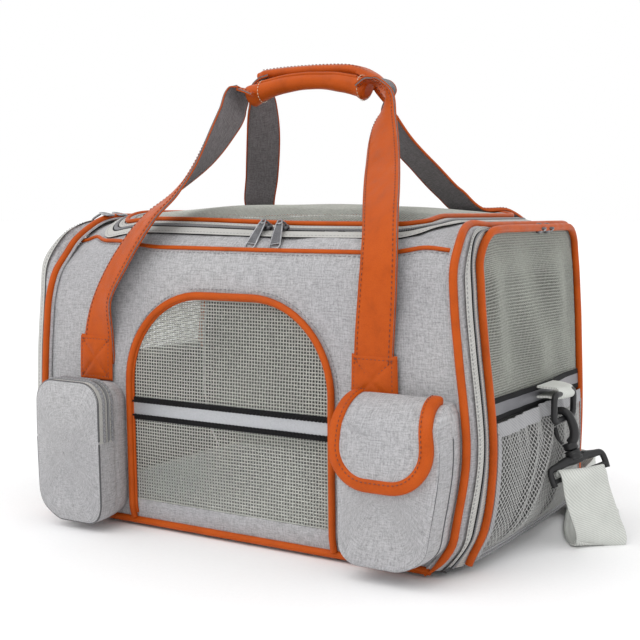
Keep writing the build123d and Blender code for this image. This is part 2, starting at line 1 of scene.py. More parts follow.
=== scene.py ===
# Soft-sided pet carrier bag: fabric, mesh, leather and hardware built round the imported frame.
# Metres, +Z up, front at -Y, right end at +X.
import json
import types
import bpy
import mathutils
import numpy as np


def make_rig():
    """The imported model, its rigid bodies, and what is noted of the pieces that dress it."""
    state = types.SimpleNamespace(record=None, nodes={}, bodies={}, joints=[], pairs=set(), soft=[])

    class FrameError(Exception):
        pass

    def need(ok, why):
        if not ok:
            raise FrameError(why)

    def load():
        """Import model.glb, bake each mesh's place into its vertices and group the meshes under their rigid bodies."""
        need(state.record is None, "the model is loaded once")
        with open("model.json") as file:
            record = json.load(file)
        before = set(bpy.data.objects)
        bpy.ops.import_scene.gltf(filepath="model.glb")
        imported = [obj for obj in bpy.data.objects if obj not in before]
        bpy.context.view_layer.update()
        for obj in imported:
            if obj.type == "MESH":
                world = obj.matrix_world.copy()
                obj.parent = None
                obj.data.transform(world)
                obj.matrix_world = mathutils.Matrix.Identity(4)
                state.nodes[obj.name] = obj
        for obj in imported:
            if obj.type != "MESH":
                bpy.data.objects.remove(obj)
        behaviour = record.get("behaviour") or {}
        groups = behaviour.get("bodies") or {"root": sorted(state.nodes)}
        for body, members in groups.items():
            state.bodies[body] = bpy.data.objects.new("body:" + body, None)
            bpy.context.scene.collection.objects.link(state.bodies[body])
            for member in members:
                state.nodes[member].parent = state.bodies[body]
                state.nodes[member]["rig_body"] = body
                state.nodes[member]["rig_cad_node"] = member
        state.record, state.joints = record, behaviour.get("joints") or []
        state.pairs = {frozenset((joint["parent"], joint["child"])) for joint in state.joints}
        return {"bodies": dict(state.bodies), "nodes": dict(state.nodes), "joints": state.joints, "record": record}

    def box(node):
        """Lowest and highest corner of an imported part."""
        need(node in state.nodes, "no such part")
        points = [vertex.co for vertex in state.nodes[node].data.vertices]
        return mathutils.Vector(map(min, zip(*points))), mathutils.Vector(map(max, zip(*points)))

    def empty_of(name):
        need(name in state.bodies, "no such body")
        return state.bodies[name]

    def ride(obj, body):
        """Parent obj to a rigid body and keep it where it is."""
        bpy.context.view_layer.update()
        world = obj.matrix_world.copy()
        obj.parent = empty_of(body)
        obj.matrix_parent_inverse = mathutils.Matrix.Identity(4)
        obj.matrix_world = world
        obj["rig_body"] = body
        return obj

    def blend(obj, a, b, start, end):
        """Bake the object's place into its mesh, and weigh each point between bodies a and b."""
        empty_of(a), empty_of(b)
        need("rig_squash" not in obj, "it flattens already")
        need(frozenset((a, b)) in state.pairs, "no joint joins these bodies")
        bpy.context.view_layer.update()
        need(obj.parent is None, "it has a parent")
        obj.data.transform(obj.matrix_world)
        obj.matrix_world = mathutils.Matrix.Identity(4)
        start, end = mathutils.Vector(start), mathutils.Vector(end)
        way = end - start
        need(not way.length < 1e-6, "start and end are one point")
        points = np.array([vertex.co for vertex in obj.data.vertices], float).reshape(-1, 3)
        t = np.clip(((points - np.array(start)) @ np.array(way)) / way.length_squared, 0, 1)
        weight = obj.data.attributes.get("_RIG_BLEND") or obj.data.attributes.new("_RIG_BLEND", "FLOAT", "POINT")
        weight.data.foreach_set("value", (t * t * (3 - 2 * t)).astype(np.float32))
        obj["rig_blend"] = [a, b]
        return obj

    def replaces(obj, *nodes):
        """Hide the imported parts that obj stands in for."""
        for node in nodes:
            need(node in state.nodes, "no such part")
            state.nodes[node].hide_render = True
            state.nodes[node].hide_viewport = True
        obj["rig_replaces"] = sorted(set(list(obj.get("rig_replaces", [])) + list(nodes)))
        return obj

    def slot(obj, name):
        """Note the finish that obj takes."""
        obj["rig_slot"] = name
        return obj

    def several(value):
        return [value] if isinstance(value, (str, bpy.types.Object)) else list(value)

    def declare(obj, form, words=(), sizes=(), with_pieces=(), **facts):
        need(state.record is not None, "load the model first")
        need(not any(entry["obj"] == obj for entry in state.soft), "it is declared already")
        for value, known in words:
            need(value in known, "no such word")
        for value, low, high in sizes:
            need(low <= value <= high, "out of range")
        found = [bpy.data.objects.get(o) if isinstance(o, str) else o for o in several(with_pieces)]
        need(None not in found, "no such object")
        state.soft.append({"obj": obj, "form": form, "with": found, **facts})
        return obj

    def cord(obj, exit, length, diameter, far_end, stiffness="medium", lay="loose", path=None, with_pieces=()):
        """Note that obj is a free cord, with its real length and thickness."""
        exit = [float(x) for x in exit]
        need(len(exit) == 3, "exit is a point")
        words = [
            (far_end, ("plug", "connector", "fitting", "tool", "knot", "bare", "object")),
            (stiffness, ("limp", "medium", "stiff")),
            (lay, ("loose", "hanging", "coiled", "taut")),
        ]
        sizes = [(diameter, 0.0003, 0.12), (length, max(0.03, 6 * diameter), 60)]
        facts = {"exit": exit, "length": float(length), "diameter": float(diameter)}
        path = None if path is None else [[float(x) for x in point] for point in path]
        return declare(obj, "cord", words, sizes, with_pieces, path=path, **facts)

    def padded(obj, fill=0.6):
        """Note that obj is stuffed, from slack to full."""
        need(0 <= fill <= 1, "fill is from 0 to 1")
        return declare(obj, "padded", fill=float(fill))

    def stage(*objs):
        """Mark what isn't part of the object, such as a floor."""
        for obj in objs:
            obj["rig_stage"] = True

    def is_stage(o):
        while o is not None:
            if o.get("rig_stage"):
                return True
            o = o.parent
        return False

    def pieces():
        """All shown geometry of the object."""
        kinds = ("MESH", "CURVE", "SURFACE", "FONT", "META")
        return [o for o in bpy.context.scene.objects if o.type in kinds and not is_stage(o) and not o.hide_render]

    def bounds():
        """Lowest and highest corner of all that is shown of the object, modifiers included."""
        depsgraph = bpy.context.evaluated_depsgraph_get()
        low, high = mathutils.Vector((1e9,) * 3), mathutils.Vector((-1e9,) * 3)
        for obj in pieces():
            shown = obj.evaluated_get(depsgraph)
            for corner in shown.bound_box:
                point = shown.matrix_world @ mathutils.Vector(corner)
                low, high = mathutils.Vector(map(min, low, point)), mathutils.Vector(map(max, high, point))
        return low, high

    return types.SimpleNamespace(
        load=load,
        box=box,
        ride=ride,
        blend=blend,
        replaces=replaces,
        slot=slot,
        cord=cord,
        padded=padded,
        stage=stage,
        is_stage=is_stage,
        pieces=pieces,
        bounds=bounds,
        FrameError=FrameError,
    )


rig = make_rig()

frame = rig.load()

import json
import math
import random

import bpy
from mathutils import Matrix, Vector, noise

CAD_BOX = [list(corner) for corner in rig.bounds()]
random.seed(11)

# ---------------------------------------------------------------- sizes, from the frame


def lo(node):
    return Vector(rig.box(node)[0])


def hi(node):
    return Vector(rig.box(node)[1])


PANEL_X = hi("front_panel").x            # end of the front and back panels
HALF_Y = hi("back_panel").y              # outer face of the front and back panels
TOP_Z = hi("top_frame").z
SHOULDER_R = 0.050                       # rounding of the long top edges
FOOT_Z = 0.004
BAND_X = hi("end_bands").x               # outer face of the zipper band
DOOR_HALF_Y = hi("right_door_panel").y
DOOR_TOP = hi("right_door_panel").z
DOOR_X = hi("right_door_panel").x
DOOR_LOW = lo("right_door_panel").z
PIPING_R = 0.0031                        # thick leather piping
CLOTH = 0.0022                           # quilted cloth with thin foam
ARCH_HALF = 0.100                        # line of the arch window's piping
ARCH_TOP = 0.202
ARCH_FOOT = 0.012
ARCH_R = 0.075
END_SAG = 0.006                          # how far the top sinks behind the right end's front corner
MESH_PITCH = 0.0027
MESH_THREAD = 0.00048
FINE_STITCH = {"pitch": 0.0034, "length": 0.0022, "radius": 0.0003}


# ---------------------------------------------------------------- small maths

def smooth(t):
    """0 below 0, 1 above 1, and a smooth step between."""
    t = max(0.0, min(1.0, t))
    return t * t * (3 - 2 * t)


def hump(t, centre, reach):
    """1 at the centre, falling smoothly to 0 at reach from it."""
    return smooth(1 - abs(t - centre) / reach)


def sign(t):
    return 1.0 if t >= 0 else -1.0


def steps(a, b, count):
    """count + 1 evenly spaced numbers from a to b."""
    return [a + (b - a) * i / count for i in range(count + 1)]


def ripple(x, y, size):
    """Smooth unevenness, about -1 to 1, with bumps about size across."""
    return noise.noise(Vector((x / size, y / size, 3.7))) * 1.6


def soft_shoulder(y, z, radius):
    """Where a point of the long top edge goes when its rounding grows from SHOULDER_R to radius."""
    cy, cz = HALF_Y - radius, TOP_Z - radius
    a, b = abs(y) - cy, z - cz
    if a <= 0 or b <= 0 or radius <= SHOULDER_R:
        return y, z
    reach = math.hypot(a, b)
    ua, ub, inner = a / reach, b / reach, radius - SHOULDER_R
    mid = ua * inner + ub * inner
    edge = mid + math.sqrt(max(0.0, mid * mid - 2 * inner * inner + SHOULDER_R ** 2))
    if radius * ub / ua <= inner:
        edge = radius / ua
    if radius * ua / ub <= inner:
        edge = radius / ub
    return sign(y) * (cy + a * radius / edge), cz + b * radius / edge


def settle(p):
    """Moves a point of the plain form to where the soft bag lies: the ends belly out, the foot tucks in."""
    x, y, z = p
    side = sign(x)
    end = smooth((abs(x) - 0.13) / 0.065)
    front = smooth((0.14 - y) / 0.28)
    rim = smooth((abs(y) - 0.105) / 0.030)
    dx = dy = dz = 0.0
    foot = 0.008 * smooth((0.035 - z) / 0.035)
    corner_r = 0.034
    rise = max(0.0, min(z, corner_r))
    rounding = corner_r - math.sqrt(corner_r ** 2 - (corner_r - rise) ** 2)
    rounding *= 0.6 * rim
    if side > 0:
        belly = (0.003 + 0.007 * front) * hump(z, 0.090, 0.115) + 0.0045 * rim * smooth((z - 0.03) / 0.08)
        lean = 0.004 * smooth((z - 0.17) / 0.09)
    else:
        belly = 0.004 * hump(z, 0.090, 0.115) - 0.002
        lean = 0.006 * smooth((z - 0.14) / 0.12)
    dx += side * end * (belly - lean - foot - rounding)
    dy += sign(y) * end * 0.008 * smooth((0.055 - z) / 0.045) * hump(abs(y), 0.106, 0.036)
    face = smooth((abs(y) - 0.10) / 0.04)
    dy -= sign(y) * face * 0.004 * smooth((0.022 - z) / 0.022)
    dy += sign(y) * face * 0.002 * hump(z, 0.12, 0.12) * (1 - end)
    crown = smooth((z - 0.215) / 0.04)
    middle = 1 - smooth((abs(x) - (0.160 if x > 0 else 0.14)) / 0.045)
    held = 1 - 0.4 * smooth((0.06 - x) / 0.16)
    dz -= (0.0095 * front ** 2 * hump(abs(y), 0.104, 0.050) * crown) * (0.35 + 0.65 * middle) * held
    dz -= 0.0065 * crown * smooth((abs(x) - 0.165) / 0.030)
    if side > 0:
        dx -= end * 0.016 * smooth((y - 0.100) / 0.042)
        dz -= END_SAG * crown * smooth((x - 0.13) / 0.045) * smooth((y + 0.110) / 0.050)
    soften = smooth((-x - 0.10) / 0.09) * (1 - 0.85 * smooth((-x - 0.199) / 0.009))
    y, z = soft_shoulder(y, z, SHOULDER_R + 0.034 * soften)
    return Vector((x + dx, y + dy, z + dz))


STRAIGHT = TOP_Z - SHOULDER_R - FOOT_Z   # girth of one upright side
ARC = math.pi / 2 * SHOULDER_R
FLAT = 2 * (HALF_Y - SHOULDER_R)
GIRTH = 2 * STRAIGHT + 2 * ARC + FLAT


def skin(x, s, out=0.0):
    """A point on the bag's skin: s runs up the front from the foot, over the top and down the back."""
    if s > GIRTH / 2:
        mirrored = plain_skin(x, GIRTH - s, out)
        mirrored.y = -mirrored.y
        return settle(mirrored)
    return settle(plain_skin(x, s, out))


def plain_skin(x, s, out):
    """skin() for the front half, before the bag settles."""
    if s < STRAIGHT:
        return Vector((x, -HALF_Y - out, FOOT_Z + s))
    if s < STRAIGHT + ARC:
        turn = (s - STRAIGHT) / SHOULDER_R
        reach = SHOULDER_R + out
        return Vector((
            x,
            -(HALF_Y - SHOULDER_R) - reach * math.cos(turn),
            TOP_Z - SHOULDER_R + reach * math.sin(turn),
        ))
    return Vector((x, -(HALF_Y - SHOULDER_R) + (s - STRAIGHT - ARC), TOP_Z + out))


def girth_at(y):
    """Girth position s of a point on the top at depth y."""
    flat_half = HALF_Y - SHOULDER_R
    if abs(y) <= flat_half:
        return GIRTH / 2 + y
    turn = math.acos(min(1.0, (abs(y) - flat_half) / SHOULDER_R))
    return GIRTH / 2 + sign(y) * (flat_half + SHOULDER_R * (math.pi / 2 - turn))


SEAM_S = STRAIGHT + SHOULDER_R * math.asin(0.5)     # thin piping between front and top panels


# ---------------------------------------------------------------- outlines

class Outline:
    """A rectangle with rounded corners, larger at its top corners than at its foot corners."""

    def __init__(self, half, foot, top, top_r, foot_r=0.001):
        self.half, self.foot, self.top = half, foot, top
        self.top_r, self.foot_r = top_r, foot_r

    def distance(self, a, b):
        """Distance outside the outline, negative inside."""
        middle = (self.foot + self.top) / 2
        r = self.top_r if b > middle else self.foot_r
        qa = abs(a) - self.half + r
        qb = abs(b - middle) - (self.top - self.foot) / 2 + r
        outside = math.hypot(max(qa, 0), max(qb, 0))
        return outside + min(max(qa, qb), 0) - r

    def snap(self, a, b, reach):
        """The point moved onto the outline if it is nearer than reach."""
        d = self.distance(a, b)
        if abs(d) > reach:
            return a, b
        h = 1e-5
        ga = (self.distance(a + h, b) - self.distance(a - h, b)) / (2 * h)
        gb = (self.distance(a, b + h) - self.distance(a, b - h)) / (2 * h)
        return a - ga * d, b - gb * d


def arch(half, foot, top, radius):
    """Points (a, b) up the left side, over the rounded top and down the right side.

    The count never changes, so two arches can be blended point by point."""
    points = [(-half, b) for b in steps(foot, top - radius, 46)]
    corner = [math.pi - t for t in steps(0, math.pi / 2, 16)][1:]
    centre, spring = -half + radius, top - radius
    points += [(centre + radius * math.cos(t), spring + radius * math.sin(t)) for t in corner]
    points += [(a, top) for a in steps(-half + radius, half - radius, 40)][1:-1]
    points += [(-a, b) for a, b in reversed(points[:len(points) - 39])]
    return points


def loop(half_a, half_b, radius, step=0.004):
    """Points (a, b) of a closed rounded rectangle round the origin."""
    points = []
    for quarter in range(4):
        turn = quarter * math.pi / 2
        ha, hb = (half_a, half_b) if quarter % 2 == 0 else (half_b, half_a)
        run = 2 * (hb - radius)
        for t in steps(0, run, max(1, round(run / step)))[:-1]:
            a, b = ha, -hb + radius + t
            points.append((a * math.cos(turn) - b * math.sin(turn), a * math.sin(turn) + b * math.cos(turn)))
        bend = max(4, round(radius * math.pi / 2 / step))
        for t in steps(0, math.pi / 2, bend)[:-1]:
            a = ha - radius + radius * math.cos(t)
            b = hb - radius + radius * math.sin(t)
            points.append((a * math.cos(turn) - b * math.sin(turn), a * math.sin(turn) + b * math.cos(turn)))
    return points


def curve_through(points, count):
    """A smooth line through a few points, by Catmull-Rom."""
    pts = [Vector(p) for p in points]
    pts = [2 * pts[0] - pts[1]] + pts + [2 * pts[-1] - pts[-2]]
    line = []
    spans = len(pts) - 3
    for k in range(count + 1):
        t = k / count * spans
        i = min(int(t), spans - 1)
        t -= i
        a, b, c, d = pts[i:i + 4]
        line.append(0.5 * (2 * b + (c - a) * t + (2 * a - 5 * b + 4 * c - d) * t * t
                           + (3 * b - a - 3 * c + d) * t ** 3))
    return line


# ---------------------------------------------------------------- pieces

class Piece:
    """Grids and tubes gathered into one mesh, with a UV map in metres along the cloth."""

    def __init__(self):
        self.points, self.faces, self.uvs, self.paints = [], [], [], []

    def grid(self, rows, paint=0, wrap=False, keep=None):
        """Quads between rows of points. wrap closes each row; keep(i, j) says which quads stay."""
        base, wide, middle = len(self.points), len(rows[0]), len(rows[0]) // 2
        along, across = [0.0], [0.0]
        for a, b in zip(rows, rows[1:]):
            along.append(along[-1] + (b[middle] - a[middle]).length)
        row = rows[len(rows) // 2]
        for j in range(wide):
            across.append(across[-1] + (row[(j + 1) % wide] - row[j]).length)
        for r in rows:
            self.points.extend(r)
        for i in range(len(rows) - 1):
            for j in range(wide if wrap else wide - 1):
                if keep is not None and not keep(i, j):
                    continue
                k = (j + 1) % wide
                top, low = base + i * wide, base + (i + 1) * wide
                self.faces.append((top + j, top + k, low + k, low + j))
                self.uvs.append(((across[j], along[i]), (across[j + 1], along[i]),
                                 (across[j + 1], along[i + 1]), (across[j], along[i + 1])))
                self.paints.append(paint(i, j) if callable(paint) else paint)

    def face(self, corners, paint=0):
        """One flat face that caps an end."""
        base = len(self.points)
        self.points.extend(corners)
        self.faces.append(tuple(range(base, base + len(corners))))
        self.uvs.append(tuple((p.x + p.y, p.z) for p in corners))
        self.paints.append(paint)

    def tube(self, line, radius, paint=0, sides=8, closed=False, flat=1.0, up=None, caps=True):
        """A tube along a line. radius is a number or one for each point; flat squeezes its second axis."""
        radii = radius if isinstance(radius, list) else [radius] * len(line)
        rows = []
        side = None
        for i, p in enumerate(line):
            before = line[i - 1] if i or closed else p
            after = line[(i + 1) % len(line)] if i + 1 < len(line) or closed else p
            along = (after - before).normalized()
            if up is not None:
                side = along.cross(Vector(up))
            elif side is None:
                side = along.orthogonal()
            side = (side - along * side.dot(along)).normalized()
            other = along.cross(side)
            ring = [2 * math.pi * k / sides for k in range(sides)]
            r = radii[i]
            rows.append([p + side * math.cos(t) * r + other * math.sin(t) * r * flat for t in ring])
        if closed:
            rows.append(rows[0])
        self.grid(rows, paint, wrap=True)
        if caps and not closed:
            self.face(rows[0], paint)
            self.face(list(reversed(rows[-1])), paint)

    def ribbon(self, line, widths, normals, width, thick, paints=(0, 0), ribs=0):
        """A flat strap along a line, with width directions and outer normals, its edges rounded."""
        count = max(8, ribs * 4)
        section = []
        for k in range(count + 1):
            a = -0.5 + k / count
            edge = 1 - max(0.0, (abs(a) - 0.46) / 0.04) ** 2 * 0.45
            rib = 0.22 * abs(math.sin(math.pi * ribs * (a + 0.5))) if ribs else 0.0
            section.append((a * width, (0.5 * edge - 0.11 * (ribs > 0) + rib * 0.5) * thick))
        rows_front, rows_back = [], []
        for p, w, n in zip(line, widths, normals):
            rows_front.append([p + w * a + n * b for a, b in section])
            rows_back.append([p + w * a - n * b for a, b in reversed(section)])
        whole = [f + b for f, b in zip(rows_front, rows_back)]
        wide = len(section)
        self.grid(whole, paints[0], wrap=True, keep=lambda i, j: j < wide - 1 or j == 2 * wide - 1)
        self.grid(whole, paints[1], wrap=True, keep=lambda i, j: wide - 1 <= j < 2 * wide - 1)
        self.face(list(reversed(whole[0])), paints[0])
        self.face(whole[-1], paints[0])

    def stitches(self, line, normals, pitch=0.0042, length=0.0028, radius=0.00042, paint=0):
        """A row of half-sunk stitches along a line; normals is one direction, or one for each point."""
        if isinstance(normals, Vector):
            normals = [normals] * len(line)
        travelled, nearest = 0.0, 0.0
        for a, b, n in zip(line, line[1:], normals):
            run = (b - a).length
            while nearest <= travelled + run and run > 1e-7:
                along = (b - a) / run
                centre = a + along * (nearest - travelled)
                self.stitch(centre, along * length / 2, n.normalized() * radius, paint)
                nearest += pitch
            travelled += run

    def stitch(self, centre, half, out, paint):
        """One stitch: a short six-sided bead along half, raised along out."""
        side = half.normalized().cross(out)
        base = len(self.points)
        rows = []
        for t, size in ((-0.62, 0.85), (0.62, 0.85)):
            rows.append([centre + half * t + (side * math.cos(k) + out * math.sin(k)) * size
                         for k in (i * math.pi / 3 for i in range(6))])
        self.points.append(centre - half - out * 0.3)
        self.points.extend(rows[0] + rows[1])
        self.points.append(centre + half - out * 0.3)
        faces = []
        for k in range(6):
            m = (k + 1) % 6
            faces.append((base, base + 1 + m, base + 1 + k))
            faces.append((base + 1 + k, base + 1 + m, base + 7 + m, base + 7 + k))
            faces.append((base + 13, base + 7 + k, base + 7 + m))
        for f in faces:
            self.faces.append(f)
            self.uvs.append(tuple((0.0, 0.0) for _ in f))
            self.paints.append(paint)

    def weave(self, surface, outline_distance, a_range, b_range, pitch, thread, margin=0.0):
        """Real threads, over and under, on surface(a, b), where the outline's distance is below -margin."""
        na = int((a_range[1] - a_range[0]) / pitch)
        nb = int((b_range[1] - b_range[0]) / pitch)
        place = {}
        for i in range(na + 1):
            for j in range(nb + 1):
                a = a_range[0] + pitch * (i + 0.5 * random.uniform(-0.12, 0.12))
                b = b_range[0] + pitch * (j + 0.5 * random.uniform(-0.12, 0.12))
                if outline_distance(a, b) < -margin:
                    place[i, j] = surface(a, b)
        for (i, j), (p, n) in place.items():
            over = 1 if (i + j) % 2 else -1
            for step, flip in (((1, 0), 1), ((0, 1), -1)):
                after = place.get((i + step[0], j + step[1]))
                if after is None:
                    continue
                lift = thread * 0.45 * over * flip
                self.strand(p + n * lift, after[0] - after[1] * lift, n, thread)

    def strand(self, a, b, normal, thread):
        """One length of thread between two crossings, a flattened four-sided rod."""
        along = b - a
        side = along.cross(normal).normalized() * thread
        out = normal * thread * 0.62
        stretch = along * 0.06
        base = len(self.points)
        for p in (a - stretch, b + stretch):
            self.points.extend((p + side, p + out, p - side, p - out))
        for k in range(4):
            m = (k + 1) % 4
            self.faces.append((base + k, base + m, base + 4 + m, base + 4 + k))
            self.uvs.append(((0, 0), (0.001, 0), (0.001, 0.002), (0, 0.002)))
            self.paints.append(0)
        for ends in ((3, 2, 1, 0), (4, 5, 6, 7)):
            self.faces.append(tuple(base + k for k in ends))
            self.uvs.append(((0, 0),) * 4)
            self.paints.append(0)

    def make(self, name, looks, body=None, slot=None, stands_for=(), smooth_faces=True, thick=0.0, lining=0):
        """The finished Blender object. thick gives an open sheet its real thickness, inwards."""
        mesh = bpy.data.meshes.new(name)
        mesh.from_pydata([tuple(p) for p in self.points], [], self.faces)
        for look in looks:
            mesh.materials.append(look)
        layer = mesh.uv_layers.new(name="cloth")
        flat = [c for face in self.uvs for uv in face for c in uv]
        layer.data.foreach_set("uv", flat)
        mesh.polygons.foreach_set("material_index", self.paints)
        mesh.polygons.foreach_set("use_smooth", [smooth_faces] * len(mesh.polygons))
        mesh.validate()
        made = bpy.data.objects.new(name, mesh)
        bpy.context.scene.collection.objects.link(made)
        if thick:
            solid = made.modifiers.new("thickness", "SOLIDIFY")
            solid.thickness = thick
            solid.offset = -1.0
            solid.material_offset = lining
            bpy.context.view_layer.objects.active = made
            with bpy.context.temp_override(object=made, active_object=made, selected_objects=[made]):
                bpy.ops.object.modifier_apply(modifier=solid.name)
            made.data.set_sharp_from_angle(angle=math.radians(55))
        if slot:
            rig.slot(made, slot)
        if stands_for:
            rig.replaces(made, *stands_for)
        if body:
            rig.ride(made, body)
        return made


# ---------------------------------------------------------------- materials

class Look:
    """A node material, built step by step."""

    def __init__(self, name, roughness, metallic=0.0, sheen=0.0, specular=0.5):
        self.material = bpy.data.materials.new(name)
        self.material.use_nodes = True
        self.tree = self.material.node_tree
        self.shader = self.tree.nodes["Principled BSDF"]
        self.shader.inputs["Roughness"].default_value = roughness
        self.shader.inputs["Metallic"].default_value = metallic
        self.shader.inputs["Sheen Weight"].default_value = sheen
        self.shader.inputs["Specular IOR Level"].default_value = specular

    def node(self, kind, sockets=(), **settings):
        """A node with its settings, and its sockets set to values or linked from outputs."""
        made = self.tree.nodes.new(kind)
        for key, value in settings.items():
            setattr(made, key, value)
        for key, value in dict(sockets).items():
            if isinstance(value, bpy.types.NodeSocket):
                self.tree.links.new(value, made.inputs[key])
            else:
                made.inputs[key].default_value = value
        return made

    def cloth_map(self, scale):
        """Cloth coordinates, scaled to bumps per metre across and along the threads."""
        uv = self.node("ShaderNodeUVMap", uv_map="cloth")
        return self.scaled(uv.outputs["UV"], (*scale, 1.0))

    def solid_map(self, scale=(1, 1, 1)):
        """Object coordinates in metres."""
        place = self.node("ShaderNodeTexCoord")
        return self.scaled(place.outputs["Object"], scale)

    def scaled(self, where, scale):
        return self.node("ShaderNodeMapping", {"Vector": where, "Scale": scale}).outputs["Vector"]

    def cells(self, where, scale):
        """Distance to the nearest of scattered cell centres."""
        return self.node("ShaderNodeTexVoronoi", {"Vector": where, "Scale": scale}).outputs["Distance"]

    def bars(self, where, scale, direction, distortion=0.0):
        """Even bars across X, Y or the diagonal."""
        sockets = {"Vector": where, "Scale": scale, "Distortion": distortion}
        return self.node("ShaderNodeTexWave", sockets, bands_direction=direction).outputs["Fac"]

    def noise(self, where, scale, detail=2.0, roughness=0.5):
        sockets = {"Vector": where, "Scale": scale, "Detail": detail, "Roughness": roughness}
        return self.node("ShaderNodeTexNoise", sockets).outputs["Fac"]

    def ramp(self, value, stops):
        made = self.node("ShaderNodeValToRGB", {"Fac": value})
        elements = made.color_ramp.elements
        while len(elements) < len(stops):
            elements.new(0.5)
        for element, (place, colour) in zip(elements, stops):
            element.position = place
            element.color = (*colour, 1.0)
        return made.outputs["Color"]

    def maths(self, what, a, b):
        return self.node("ShaderNodeMath", {0: a, 1: b}, operation=what).outputs["Value"]

    def mix(self, share, a, b, blend="MIX"):
        made = self.node("ShaderNodeMix", data_type="RGBA", blend_type=blend)
        for index, value in ((0, share), (6, a), (7, b)):
            if isinstance(value, bpy.types.NodeSocket):
                self.tree.links.new(value, made.inputs[index])
            elif index:
                made.inputs[index].default_value = (*value, 1.0)
            else:
                made.inputs[index].default_value = value
        return made.outputs[2]

    def colour(self, output):
        self.tree.links.new(output, self.shader.inputs["Base Color"])

    def rough_patches(self, output, *stops):
        """Roughness that changes with a texture, between stops of (texture value, roughness)."""
        ramp = self.ramp(output, [(place, (value,) * 3) for place, value in stops])
        self.tree.links.new(ramp, self.shader.inputs["Roughness"])

    def bump(self, height, distance, strength=1.0):
        made = self.node("ShaderNodeBump", {"Height": height, "Distance": distance, "Strength": strength})
        self.tree.links.new(made.outputs["Normal"], self.shader.inputs["Normal"])


WAVE = 0.314                             # wave texture scale for one bar per unit


def tint(colour, factor):
    return tuple(min(1.0, c * factor) for c in colour)


def heather(name, colour, contrast=0.32):
    """Plain-weave heather cloth: warp and weft slubs of mixed shades, with the weave raised."""
    thread, slub, slub_length = 0.00062, 0.0011, 0.009
    look = Look(name, 0.86, sheen=0.12, specular=0.25)
    warp = look.noise(look.cloth_map((1 / slub, 1 / slub_length)), 1.0, 3.0, 0.65)
    weft = look.noise(look.cloth_map((1 / slub_length, 1 / slub)), 1.0, 3.0, 0.65)
    speck = look.noise(look.cloth_map((1 / 0.0014, 1 / 0.0014)), 1.0, 2.0, 0.7)
    blend = look.maths("ADD", look.maths("ADD", warp, weft), look.maths("MULTIPLY", speck, 0.9))
    blend = look.maths("MULTIPLY", blend, 1 / 2.9)
    stops = [(0.36, tint(colour, 1 - 1.25 * contrast)), (0.47, tint(colour, 1 - 0.3 * contrast)),
             (0.53, tint(colour, 1 + 0.4 * contrast)), (0.64, tint(colour, 1 + 1.1 * contrast))]
    threads = look.ramp(blend, stops)
    broad = look.noise(look.solid_map(), 9.0, 2.0)
    shade = look.ramp(broad, [(0.3, (0.93, 0.93, 0.94)), (0.7, (1.04, 1.04, 1.03))])
    look.colour(look.mix(1.0, threads, shade, "MULTIPLY"))
    across = look.bars(look.cloth_map((1, 1)), WAVE / thread, "X")
    along = look.bars(look.cloth_map((1, 1)), WAVE / thread, "Y")
    weave = look.maths("ADD", look.maths("MULTIPLY", across, along), look.maths("MULTIPLY", blend, 1.4))
    look.bump(weave, 0.00035, 0.75)
    return look.material


def leather(name, colour, roughness=0.42):
    """Smooth synthetic leather: fine pebble grain, soft mottling and slightly worn high spots."""
    look = Look(name, roughness, sheen=0.0, specular=0.15)
    where = look.solid_map()
    pebble = look.cells(where, 1500.0)
    fine = look.noise(where, 2600.0, 3.0)
    mottle = look.noise(where, 60.0, 4.0, 0.6)
    red, green, blue = colour
    worn = (red * 1.06, green * 1.12, blue * 1.3)
    base = look.ramp(mottle, [(0.30, tint(colour, 0.84)), (0.5, colour), (0.72, worn)])
    pores = look.ramp(pebble, [(0.0, (1.03, 1.03, 1.03)), (0.75, (0.90, 0.88, 0.86))])
    look.colour(look.mix(1.0, base, pores, "MULTIPLY"))
    look.rough_patches(look.noise(where, 120.0, 3.0), (0.3, roughness - 0.08), (0.7, roughness + 0.12))
    look.bump(look.maths("SUBTRACT", fine, pebble), 0.00012, 0.6)
    return look.material


def thread_look(name, colour):
    """Twisted sewing thread; also the look of the pockets' dark seam lines, which are painted shade."""
    look = Look(name, 0.7, sheen=0.2)
    twist = look.noise(look.solid_map(), 3500.0, 2.0)
    look.colour(look.ramp(twist, [(0.3, tint(colour, 0.72)), (0.7, tint(colour, 1.15))]))
    look.bump(twist, 0.0001, 0.5)
    return look.material


def yarn(name, colour, spread=0.18):
    """Coated mesh yarn with small changes of shade from place to place."""
    look = Look(name, 0.55, sheen=0.1, specular=0.4)
    patchy = look.noise(look.solid_map(), 420.0, 2.0)
    broad = look.noise(look.solid_map(), 14.0, 2.0)
    mixed = look.maths("ADD", look.maths("MULTIPLY", patchy, 0.6), look.maths("MULTIPLY", broad, 0.4))
    look.colour(look.ramp(mixed, [(0.35, tint(colour, 1 - spread)), (0.65, tint(colour, 1 + spread))]))
    look.bump(look.noise(look.solid_map(), 4000.0, 2.0), 0.00008, 0.4)
    return look.material


def woven_tape(name, colour, ribs=1 / 0.0011, sheen=0.1):
    """Narrow woven tape: a fine herringbone across its width, lightly soiled."""
    look = Look(name, 0.8, sheen=sheen, specular=0.2)
    bars = look.bars(look.cloth_map((1, 1)), WAVE * ribs, "DIAGONAL", 0.6)
    soil = look.noise(look.solid_map(), 45.0, 4.0)
    base = look.ramp(bars, [(0.15, tint(colour, 0.84)), (0.8, tint(colour, 1.05))])
    grey = look.ramp(soil, [(0.3, (0.92, 0.92, 0.92)), (0.6, (1.02, 1.02, 1.02))])
    look.colour(look.mix(1.0, base, grey, "MULTIPLY"))
    look.bump(bars, 0.0002, 0.6)
    return look.material


